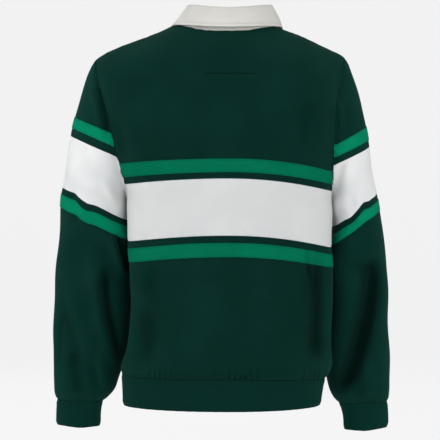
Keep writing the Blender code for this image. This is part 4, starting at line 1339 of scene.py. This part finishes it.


# %% [markdown]
# The back yoke has a rectangle of stitches where a patch is sewn inside. It is the same
# colour as the cloth, so it shows only as a line of painted shade, darkest at the bottom.
# A rounded box's distance function draws it: 0 on the line, negative inside, positive outside.

# %% Draw the stitched rectangle on the back yoke
PATCH_X = -0.0021
PATCH_Z = -0.0616
PATCH_HALF_WIDTH = 0.0455
PATCH_HALF_HEIGHT = 0.0262
PATCH_CORNER = 0.0035
PATCH_CLEAR_TO = 0.8  # of the half height: above this the line is as faint as at the top
PATCH_FAINT = 0.72  # how much of the line is lost at the top, and beside
PATCH_FAINT_BESIDE = 0.7
PATCH_BESIDE = -0.0040


def yoke_patch(recipe):
    """The masks of its stitches, and of its line of painted shade, which is faint at the top and
    beside.
    """
    where = recipe.node("ShaderNodeTexCoord")["Object"]
    axes = recipe.node("ShaderNodeSeparateXYZ", values={"Vector": where})
    aside = abs(axes["X"] - PATCH_X) - (PATCH_HALF_WIDTH - PATCH_CORNER)
    above = abs(axes["Z"] - PATCH_Z) - (PATCH_HALF_HEIGHT - PATCH_CORNER)
    right = aside.larger(0.0)
    over = above.larger(0.0)
    outside = (right * right + over * over).root()
    distance = outside + aside.larger(above).smaller(0.0) - PATCH_CORNER
    clear = (PATCH_Z - PATCH_HALF_HEIGHT, PATCH_Z - PATCH_HALF_HEIGHT * PATCH_CLEAR_TO)
    depth = 1.0 - axes["Z"].between(*clear) * PATCH_FAINT
    sides = aside.between(PATCH_BESIDE, 0.0) * PATCH_FAINT_BESIDE
    outline = distance.line(0.0, PATCH_STITCHING.half, PATCH_STITCHING.soft)
    row = distance.line(0.0, STITCH_HALF, STITCH_HALF) * dashes(axes["X"] + axes["Z"])
    return row, outline * depth * (1.0 - sides)


# %% Mix the cloth finishes
RIB_PITCH = 0.0036
TWILL_PITCH = 0.0011
TWILL_LINE = (0.15, 0.30)  # of the pitch: half the diagonal line, and its soft edge
RIB_COLUMN = (0.10, 0.62)  # of the wave across the ribs: where a column rises out of a furrow
# Painted shade along the seams: first for a rib, then for a panel.
RIB_EDGE = (0.0004, 0.0022)  # from the edge: the dark seam of a rib, where it ends, its shade
RIB_EDGE_SHADE = 0.7
SEAM_EDGE = (0.0, 0.0012)  # the same of a panel
SEAM_SHADE = 0.35
# Painted shade in the creases: what is left of the colour deep in one, and how much the creases
# darken a tape.
HOLLOW_DARK = 0.15  # what is left of the colour deep in a crease
TAPE_HOLLOW = 0.5  # how much the creases darken a tape
NAP_SHEEN = 0.06
NAP = {
    "Roughness": 0.92,
    "Specular_IOR_Level": 0.02,
    "Sheen_Roughness": 0.35,
    "Sheen_Tint": colour(0.20, 0.85, 0.65),
}
FLAT_KNIT = {"Roughness": 0.88, "Specular_IOR_Level": 0.02}
COTTON = {"Roughness": 0.85, "Specular_IOR_Level": 0.15, "Sheen_Weight": 0.05}


def fleece(
    name, base, worn, stitching=FLEECE_STITCHING, patch=False, nap=NAP_SHEEN, crease_shade=0.75
):
    """Knit-faced fleece, sewn beside its edges, with painted shade in its gaps, along its seams
    and in its creases.
    """
    cloth = Cloth(name, base, worn, FLEECE_WEAVE)
    loops = cloth.knit()
    cloth.wear()
    # Painted shade in the gaps between the loops.
    cloth.darken((1.0 - loops) * cloth.weave.gaps)
    # Painted shade along the seams.
    cloth.darken((1.0 - cloth.edge.between(*SEAM_EDGE)) * SEAM_SHADE)
    # Painted shade in the creases, from the map hollow.
    cloth.darken(cloth.hollow * crease_shade, HOLLOW_DARK)
    raised = cloth.raise_loops(loops)
    if stitching:
        raised = cloth.sew(raised, stitching, *cloth.beside_edge(stitching))
    if patch:
        raised = cloth.sew(raised, PATCH_STITCHING, *yoke_patch(cloth))
    return cloth.done(raised, Sheen_Weight=nap, **NAP)


def rib(name, base, worn):
    """Ribbed knit: raised columns with painted shade in the narrow furrows between them."""
    cloth = Cloth(name, base, worn, RIB_WEAVE)
    wave = (cloth.across * (2 * math.pi / RIB_PITCH)).sin() * 0.5 + 0.5
    column = wave.between(*RIB_COLUMN)
    cloth.wear()
    # Painted shade in the furrows, and along the rib's seam.
    cloth.darken((1.0 - column) * cloth.weave.gaps)
    cloth.darken((1.0 - cloth.edge.between(*RIB_EDGE)) * RIB_EDGE_SHADE)
    raised = column + cloth.knit() * cloth.weave.loop_rise
    return cloth.done(raised, Sheen_Weight=NAP_SHEEN, **NAP)


def tape(name, base, worn):
    """Flat knit tape, sewn down just inside both edges."""
    cloth = Cloth(name, base, worn, TAPE_WEAVE)
    loops = cloth.knit()
    cloth.wear()
    # Painted shade in the gaps between the loops and in the creases.
    cloth.darken((1.0 - loops) * cloth.weave.gaps + cloth.hollow * TAPE_HOLLOW)
    row_and_channel = cloth.beside_edge(TAPE_STITCHING)
    raised = cloth.sew(cloth.raise_loops(loops), TAPE_STITCHING, *row_and_channel)
    return cloth.done(raised, **FLAT_KNIT)


def twill(name, base, worn):
    """Woven cotton with a fine diagonal line, and a row of stitches inside its edge."""
    cloth = Cloth(name, base, worn, TWILL_WEAVE)
    course = ((cloth.across + cloth.up) / TWILL_PITCH).fraction()
    diagonal = (course - 0.5).line(0.0, *TWILL_LINE)
    cloth.wear()
    # Painted shade between the diagonal lines.
    cloth.darken((1.0 - diagonal) * cloth.weave.gaps)
    row_and_channel = cloth.beside_edge(TWILL_STITCHING)
    raised = cloth.sew(cloth.raise_loops(diagonal), TWILL_STITCHING, *row_and_channel)
    return cloth.done(raised, **COTTON)


# %% Mix the colours
DARK = (0.0016, 0.0178, 0.0138), (0.0032, 0.0265, 0.0210)  # each a base and a worn colour
BRIGHT = (0.0004, 0.1180, 0.0590), (0.0012, 0.1560, 0.0820)
WHITE = (0.548, 0.560, 0.564), (0.618, 0.626, 0.626)
CREAM = (0.492, 0.485, 0.457), (0.550, 0.541, 0.509)
# White cloth has no stitching or sheen, and less painted shade in its creases.
WHITE_CLOTH = {"stitching": None, "nap": 0.0, "crease_shade": 0.10}
# Painted light: the sleeves catch more light than the body, so each colour is painted a little
# brighter there.
Brightness = namedtuple("Brightness", "where dark bright white")
PLACES = table(Brightness, "body", (1.0, 1.0, 1.0), "sleeve", (1.18, 1.50, 1.21))
FINISHES = {}


def mix_finish(kind, name, tones, share=1.0, **values):
    base, worn = (times(tone, share) for tone in tones)
    FINISHES[name] = kind(name, base, worn, **values)


mix_finish(fleece, "yoke_fleece", DARK, patch=True)
mix_finish(twill, "cream_twill", CREAM)
for where, dark, bright, white in PLACES:
    mix_finish(fleece, "dark_fleece_" + where, DARK, dark)
    mix_finish(rib, "dark_rib_" + where, DARK, dark)
    mix_finish(tape, "bright_tape_" + where, BRIGHT, bright)
    mix_finish(fleece, "white_fleece_" + where, WHITE, white, **WHITE_CLOTH)
print("finishes:", ", ".join(FINISHES))

# %% [markdown]
# ## Cutting the pieces out of the skin
#
# Each piece takes its own faces from the creased skin. A sheet has no thickness yet, so it
# gets its maps first and then Solidify, which thickens it towards the inside. A tape is
# the same strip of faces, moved out so that it lies on its panel.

# %% Make a piece of cloth from some of the skin's faces
SMOOTH_CLOTH = math.radians(60)  # edges sharper than this stay sharp
COLUMN_BINS = 60
Cut = namedtuple("Cut", "width length area")


def sheet_from(name, points, loops, measures, hollows=None):
    """A one-sided sheet with its maps. measures has a row for each corner of loops."""
    used, local = np.unique(loops, return_inverse=True)
    sheet = mesh_object(name, points[used], local.reshape(loops.shape).tolist())
    write_map(sheet.data, "cloth", measures)
    edge = to_border(along_border(border_edges(loops), points), points[used])
    write_map(sheet.data, "seam", edge[local.ravel()])
    depth = np.zeros(len(points)) if hollows is None else hollows
    write_map(sheet.data, "hollow", depth[np.repeat(loops.ravel(), 2)])
    return sheet


def flat_cut(sheet, sides):
    """The sheet's flat size: its whole width, its longest column and its area. The measure
    across starts anew on the front, so the hem rib's is taken on two sides."""
    across, up = read(sheet.data.uv_layers["cloth"].data, "uv", 2).T
    width = float(np.ptp(across))
    column = ((across - across.min()) / width * (COLUMN_BINS - 1)).round()
    length = max(float(np.ptp(up[column == i])) for i in range(COLUMN_BINS) if (column == i).any())
    area = sum(face.area for face in sheet.data.polygons)
    return Cut(sides * width, length, min(area, sides * width * length))


def dress(sheet, node, finish, slot, thickness, held, sides=1):
    """Gives a sheet its wall, finish and place in the model, in the stead of one solid."""
    cut = flat_cut(sheet, sides)
    sheet.data.materials.append(FINISHES[finish])
    apply_modifier(sheet, "SOLIDIFY", thickness=thickness, offset=-1.0, use_even_offset=False)
    alone(sheet)
    bpy.ops.object.shade_smooth_by_angle(angle=SMOOTH_CLOTH)
    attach(sheet, "root")
    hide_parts(node)
    print(node, [round(value, 3) for value in cut])


def finish_of(panel):
    """A piece's finish, a slot name for it and its thickness, from its name."""
    # The sleeves take the brighter copies, with painted light.
    where = "_sleeve" if panel.startswith(("left_", "right_")) else "_body"
    if panel in RIBS:
        return "dark_rib" + where, "dark_green", RIB
    if panel.endswith("_tape"):
        return "bright_tape" + where, "bright_green", TAPE
    if panel.endswith("_band"):
        return "white_fleece" + where, "white_band", FLEECE
    if panel == "back_upper":
        return "yoke_fleece", "dark_green", FLEECE
    return "dark_fleece" + where, "dark_green", FLEECE


def cut_out(name, mine, points):
    """The sheet of the faces in a mask, with the crease map."""
    measures = corner_measure[mine].reshape(-1, 2)
    return sheet_from("cloth_" + name, points, faces[mine], measures, hollow)


for number, panel in enumerate(PANELS):
    sheet = cut_out(panel, face_panel == number, place)
    dress(sheet, panel, *finish_of(panel), "hung", sides=2 if panel == "hem_rib" else 1)

# %% Lay the tapes on their panels
lifted = place + normal * (LAID_GAP + TAPE)
for number, strip in enumerate(STRIPS):
    if strip.endswith("_tape"):
        sheet = cut_out(strip, face_strip == number, lifted)
        dress(sheet, strip, *finish_of(strip), "laid")

# %% [markdown]
# ## The collar
#
# The collar is two pieces of woven cotton. A stand rises from the neck seam, and the leaf
# is sewn to its top edge and turns down over it. Both follow one table round the neck, from
# the middle of the back to the middle of the front: the fold's place and the leaf's edge.

# %% Name the collar's sizes
Collar = namedtuple("Collar", "turn fold_x fold_y fold_z edge_x edge_y edge_z")
COLLAR = table(
    Collar,
    (0.0, 0.0, 0.0625, 0.0258, 0.0, 0.083, -0.005),
    (30.0, 0.033, 0.058, 0.0279, 0.0415, 0.0778, -0.0035),
    (56.0, 0.0585, 0.04, 0.0317, 0.075, 0.0565, 0.0008),
    (80.0, 0.071, 0.013, 0.0335, 0.0955, 0.0235, 0.004),
    (103.0, 0.07, -0.016, 0.0276, 0.0995, -0.019, 0.0008),
    (125.0, 0.058, -0.04, 0.012, 0.092, -0.057, -0.025),
    (149.0, 0.035, -0.058, -0.015, 0.073, -0.0865, -0.07),
    (165.5, 0.017, -0.0655, -0.033, 0.058, -0.103, -0.101),
    (176.5, 0.004, -0.068, -0.043, 0.042, -0.112, -0.118),
    (180.0, 0.0, -0.0685, -0.0455, 0.039, -0.113, -0.12),
)
LEAF_END = 177.0  # degrees from the middle of the back
LEAF_COLUMNS = 150
LEAF_FALL_ROWS = 16
LEAF_BELLY = 0.0030  # how far the falling leaf stands out from a straight line
LEAF_WAVE = 0.0007  # of its lower edge
LEAF_WAVES = 5.0
LEAF_WAVE_START = 0.7
# At the two sides: fold and edge further out, edge further up, and more or less belly.
Lean = namedtuple("Lean", "fold_out edge_out edge_up belly")
LEAN_LEFT = Lean(-0.0006, 0.0020, -0.0020, -0.0030)
LEAN_RIGHT = Lean(0.0024, -0.0035, -0.0058, -0.0010)
FOLD_ROLL = (  # outwards and upwards from the stand's top edge, to the start of the fall
    (-0.0016, 0.0010), (-0.0014, 0.0024), (-0.0008, 0.0033), (0.0005, 0.0041),
    (0.0020, 0.0042), (0.0034, 0.0033), (0.0046, 0.0016),
)
STAND_ROWS = 8
STAND_SETBACK = 0.0016  # how far inside the neck seam the stand starts
HALF_ROUND = 178.0  # the fold's direction isn't read further round than this
NECK_ABOVE = -0.2  # the only open edge above this height is the neck's
COLLAR_FINISH = ("cream_twill", "collar_white", WOVEN)


# %% Find places on the collar
LEAN_POWER = 4  # the higher, the closer to the two sides the lean stays


def lean_at(turn):
    """How the collar leans on this side, and how much of that counts in this direction."""
    return LEAN_LEFT if turn > 0 else LEAN_RIGHT, math.sin(math.radians(turn)) ** LEAN_POWER


def on_collar(line, turn):
    """A point of the fold or of the leaf's edge, in a direction from the middle of the back."""
    x, y, z = (fair(COLLAR, f"{line}_{axis}", abs(turn)) for axis in "xyz")
    lean, beside = lean_at(turn)
    x += beside * (lean.fold_out if line == "fold" else lean.edge_out)
    z += beside * (lean.edge_up if line == "edge" else 0.0)
    return np.array((math.copysign(x, turn), y, z))


def fold_outwards(turn):
    """The level direction away from the neck, square to the fold."""
    along = on_collar("fold", turn + 1.0) - on_collar("fold", turn - 1.0)
    out = np.array((-along[1], along[0], 0.0))
    return out / np.linalg.norm(out)


def grid_sheet(name, columns):
    """A sheet from columns of points, with its maps measured along and down it."""
    grid = np.array(columns)
    count, rows = grid.shape[:2]
    start = (np.arange(count - 1)[:, None] * rows + np.arange(rows - 1)[None, :]).ravel()
    loops = np.stack([start, start + rows, start + rows + 1, start + 1], axis=1)
    along = np.linalg.norm(np.diff(grid, axis=0), axis=2).mean(axis=1)
    down = np.linalg.norm(np.diff(grid, axis=1), axis=2)
    across = np.concatenate([[0.0], np.cumsum(along)])
    fall = np.concatenate([np.zeros((count, 1)), np.cumsum(down, axis=1)], axis=1)
    measure = np.stack([np.broadcast_to(across[:, None], fall.shape), fall], axis=2)
    return sheet_from(name, grid.reshape(-1, 3), loops, measure.reshape(-1, 2)[loops.ravel()])


# %% Make the stand
def bearing(point):
    """The direction of a point from the middle of the back, in degrees."""
    return math.degrees(math.atan2(point[0], point[1]))


neck_points = [point for point in place[np.unique(border_edges(faces))] if point[2] > NECK_ABOVE]
neck_points.sort(key=bearing)
neck_turns = [bearing(point) for point in neck_points]
neck_points = [neck_points[-1], *neck_points, neck_points[0]]
neck_turns = [neck_turns[-1] - 360.0, *neck_turns, neck_turns[0] + 360.0]


def neck_place(turn):
    """The neck seam's place in one direction, from the creased body's own edge."""
    i = int(np.searchsorted(neck_turns, turn, side="right")) - 1
    i = min(max(i, 0), len(neck_turns) - 2)
    share = (turn - neck_turns[i]) / (neck_turns[i + 1] - neck_turns[i])
    return lerp(neck_points[i], neck_points[i + 1], share)


columns = []
for step in range(LEAF_COLUMNS + 1):
    turn = -180.0 + 360.0 * step / LEAF_COLUMNS
    top = on_collar("fold", turn)
    inwards = -fold_outwards(min(max(turn, -HALF_ROUND), HALF_ROUND))
    foot = neck_place(turn) + inwards * STAND_SETBACK
    columns.append([lerp(top, foot, row / STAND_ROWS) for row in range(STAND_ROWS + 1)])
stand = grid_sheet("cloth_collar_stand", columns)
dress(stand, "collar_stand", *COLLAR_FINISH, "hung")

# %% Turn the leaf over it
columns = []
for step in range(LEAF_COLUMNS + 1):
    turn = LEAF_END * (2.0 * step / LEAF_COLUMNS - 1.0)
    fold = on_collar("fold", turn)
    out = fold_outwards(turn)
    wave = LEAF_WAVE * math.sin(math.radians(turn) * LEAF_WAVES + LEAF_WAVE_START)
    edge = on_collar("edge", turn) + out * wave
    column = [fold + out * outwards + np.array((0, 0, up)) for outwards, up in FOLD_ROLL]
    start = column[-1]
    lean, beside = lean_at(turn)
    belly = LEAF_BELLY + lean.belly * beside
    for row in range(1, LEAF_FALL_ROWS + 1):
        share = row / LEAF_FALL_ROWS
        column.append(lerp(start, edge, share) + out * belly * math.sin(math.pi * share))
    columns.append(column)
leaf = grid_sheet("cloth_collar_leaf", columns)
dress(leaf, "collar_leaf", *COLLAR_FINISH, "folded")

# %% [markdown]
# ## Placket and buttons
#
# The front isn't in the photograph. Such a collar closes with a short placket, so a plain
# strip of the collar's cloth runs down from the neck, with three small buttons. The strip
# is laid on the creased front: rays from in front find where the cloth is.

# %% Lay the placket on the front
PLACKET_WIDTH = 0.032
PLACKET_TOP = -0.0755
PLACKET_BOTTOM = -0.214
PLACKET_ROWS = 40
PLACKET_COLUMNS = 10
PLACKET_LIFT = 0.0004 + WOVEN  # of its outer face, over the front
IN_FRONT = -0.5  # where the rays start

front_faces = faces[(face_part == PARTS.index("front")) & (face_panel != PANELS.index("hem_rib"))]
front_cloth = BVHTree.FromPolygons(place.tolist(), front_faces.tolist())


def on_front(x, z):
    """The front cloth's surface and its outward direction, straight behind a point."""
    hit, facing_out, _, _ = front_cloth.ray_cast(Vector((x, IN_FRONT, z)), Vector((0, 1, 0)))
    return hit, facing_out if facing_out.y < 0 else -facing_out


columns = []
for i in range(PLACKET_COLUMNS + 1):
    x = PLACKET_WIDTH * (0.5 - i / PLACKET_COLUMNS)
    column = []
    for j in range(PLACKET_ROWS + 1):
        hit, out = on_front(x, PLACKET_TOP + (PLACKET_BOTTOM - PLACKET_TOP) * j / PLACKET_ROWS)
        column.append(np.array(hit + out * PLACKET_LIFT))
    columns.append(column)
dress(grid_sheet("cloth_placket", columns), "placket", *COLLAR_FINISH, "laid")

# %% [markdown]
# A shirt button is a turned disc with a raised rim, a shallow dish and four holes, and a
# cross of thread holds it. One is modelled flat, and each copy is then laid on the placket.

# %% Name the button's sizes
BUTTON_RADIUS = 0.0058
BUTTON_SIDES = 48
BUTTON_HEIGHT = 0.0024
BUTTON_RIM = 0.0013
BUTTON_SLOPE = BUTTON_RIM / 2  # how wide the dish's side is
BUTTON_DISH = 0.0007
BUTTON_EDGE = 0.00035
SMOOTH_BUTTON = math.radians(35)
FACES_UP = 0.9  # the least Z of an upper face's normal
BUTTON_LEVELS = (-0.128, -0.160, -0.192)
HOLE_RADIUS = 0.00065
HOLE_REACH = 0.0013
HOLE_SIDES = 16
HOLE_TURNS = (45, 135, 225, 315)
THREAD_RADIUS = HOLE_RADIUS * 0.55
THREAD_SIDES = 10
THREAD_RISE = HOLE_RADIUS * 0.3  # its middle, above the floor of the dish


def cylinder(radius, depth, sides, **at):
    """A cylinder, which is then the only selected object."""
    bpy.ops.object.select_all(action="DESELECT")
    bpy.ops.mesh.primitive_cylinder_add(vertices=sides, radius=radius, depth=depth, **at)
    return bpy.context.object


def select_faces(thing, wanted):
    """Selects the faces for which wanted(face) is true, in edit mode."""
    bpy.ops.object.mode_set(mode="EDIT")
    shape = bmesh.from_edit_mesh(thing.data)
    for face in shape.faces:
        face.select = wanted(face)
    shape.select_flush_mode()
    bmesh.update_edit_mesh(thing.data)


# %% Mix the button's finishes
def horn():
    """Smooth off-white with faint clouds."""
    recipe = Recipe("button_horn")
    clouds = uneven(recipe, 260.0)
    pale, palest = colour(0.70, 0.68, 0.63), colour(0.80, 0.79, 0.75)
    shade = recipe.mix(clouds.between(0.3, 0.7), pale, palest)
    return recipe.finish(Base_Color=shade, Roughness=0.30, Normal=bump(recipe, clouds, 0.0001))


def thread():
    """Twisted cotton."""
    recipe = Recipe("button_thread")
    twist = uneven(recipe, 1500.0)
    shade = recipe.mix(twist, colour(0.55, 0.54, 0.50), colour(0.72, 0.71, 0.67))
    return recipe.finish(Base_Color=shade, Roughness=0.8, Normal=bump(recipe, twist, 0.0002))


BUTTON_FINISHES = horn(), thread()
print("button finishes:", [finish.name for finish in BUTTON_FINISHES])

# %% Turn a button
blank = cylinder(BUTTON_RADIUS, BUTTON_HEIGHT, BUTTON_SIDES)
select_faces(blank, lambda face: face.normal.z > FACES_UP)
bpy.ops.mesh.inset(thickness=BUTTON_RIM)
bpy.ops.transform.translate(value=(0.0, 0.0, -BUTTON_DISH))
bpy.ops.mesh.inset(thickness=BUTTON_SLOPE)
bpy.ops.object.mode_set(mode="OBJECT")
apply_modifier(blank, "BEVEL", width=BUTTON_EDGE, segments=3, limit_method="ANGLE")
for turn in map(math.radians, HOLE_TURNS):
    at = (HOLE_REACH * math.cos(turn), HOLE_REACH * math.sin(turn), 0.0)
    drill = cylinder(HOLE_RADIUS, 2 * BUTTON_HEIGHT, HOLE_SIDES, location=at)
    apply_modifier(blank, "BOOLEAN", object=drill, operation="DIFFERENCE", solver="EXACT")
    bpy.data.objects.remove(drill, do_unlink=True)
for finish in BUTTON_FINISHES:
    blank.data.materials.append(finish)
for turn in map(math.radians, HOLE_TURNS[:2]):
    at = (0.0, 0.0, BUTTON_HEIGHT / 2 - BUTTON_DISH + THREAD_RISE)
    lie = (math.pi / 2, 0.0, turn)
    strand = cylinder(THREAD_RADIUS, 2 * HOLE_REACH, THREAD_SIDES, location=at, rotation=lie)
    bpy.ops.object.transform_apply(location=True, rotation=True, scale=True)
    for finish in BUTTON_FINISHES:
        strand.data.materials.append(finish)
    for face in strand.data.polygons:
        face.material_index = 1
    alone(blank)
    strand.select_set(True)
    bpy.ops.object.join()
print("button:", len(blank.data.polygons), "faces")

# %% Sew the buttons on
for number, z in enumerate(BUTTON_LEVELS, start=1):
    hit, out = on_front(0.0, z)
    button = add_object(f"sewn_button_{number}", blank.data.copy())
    turn = Vector((0, 0, 1)).rotation_difference(out).to_matrix().to_4x4()
    turn.translation = hit + out * (PLACKET_LIFT + LAID_GAP + BUTTON_HEIGHT / 2)
    button.data.transform(turn)
    alone(button)
    bpy.ops.object.shade_smooth_by_angle(angle=SMOOTH_BUTTON)
    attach(button, "root")
    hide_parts(f"button_{number}")
bpy.data.objects.remove(blank, do_unlink=True)
print("buttons:", len(BUTTON_LEVELS))
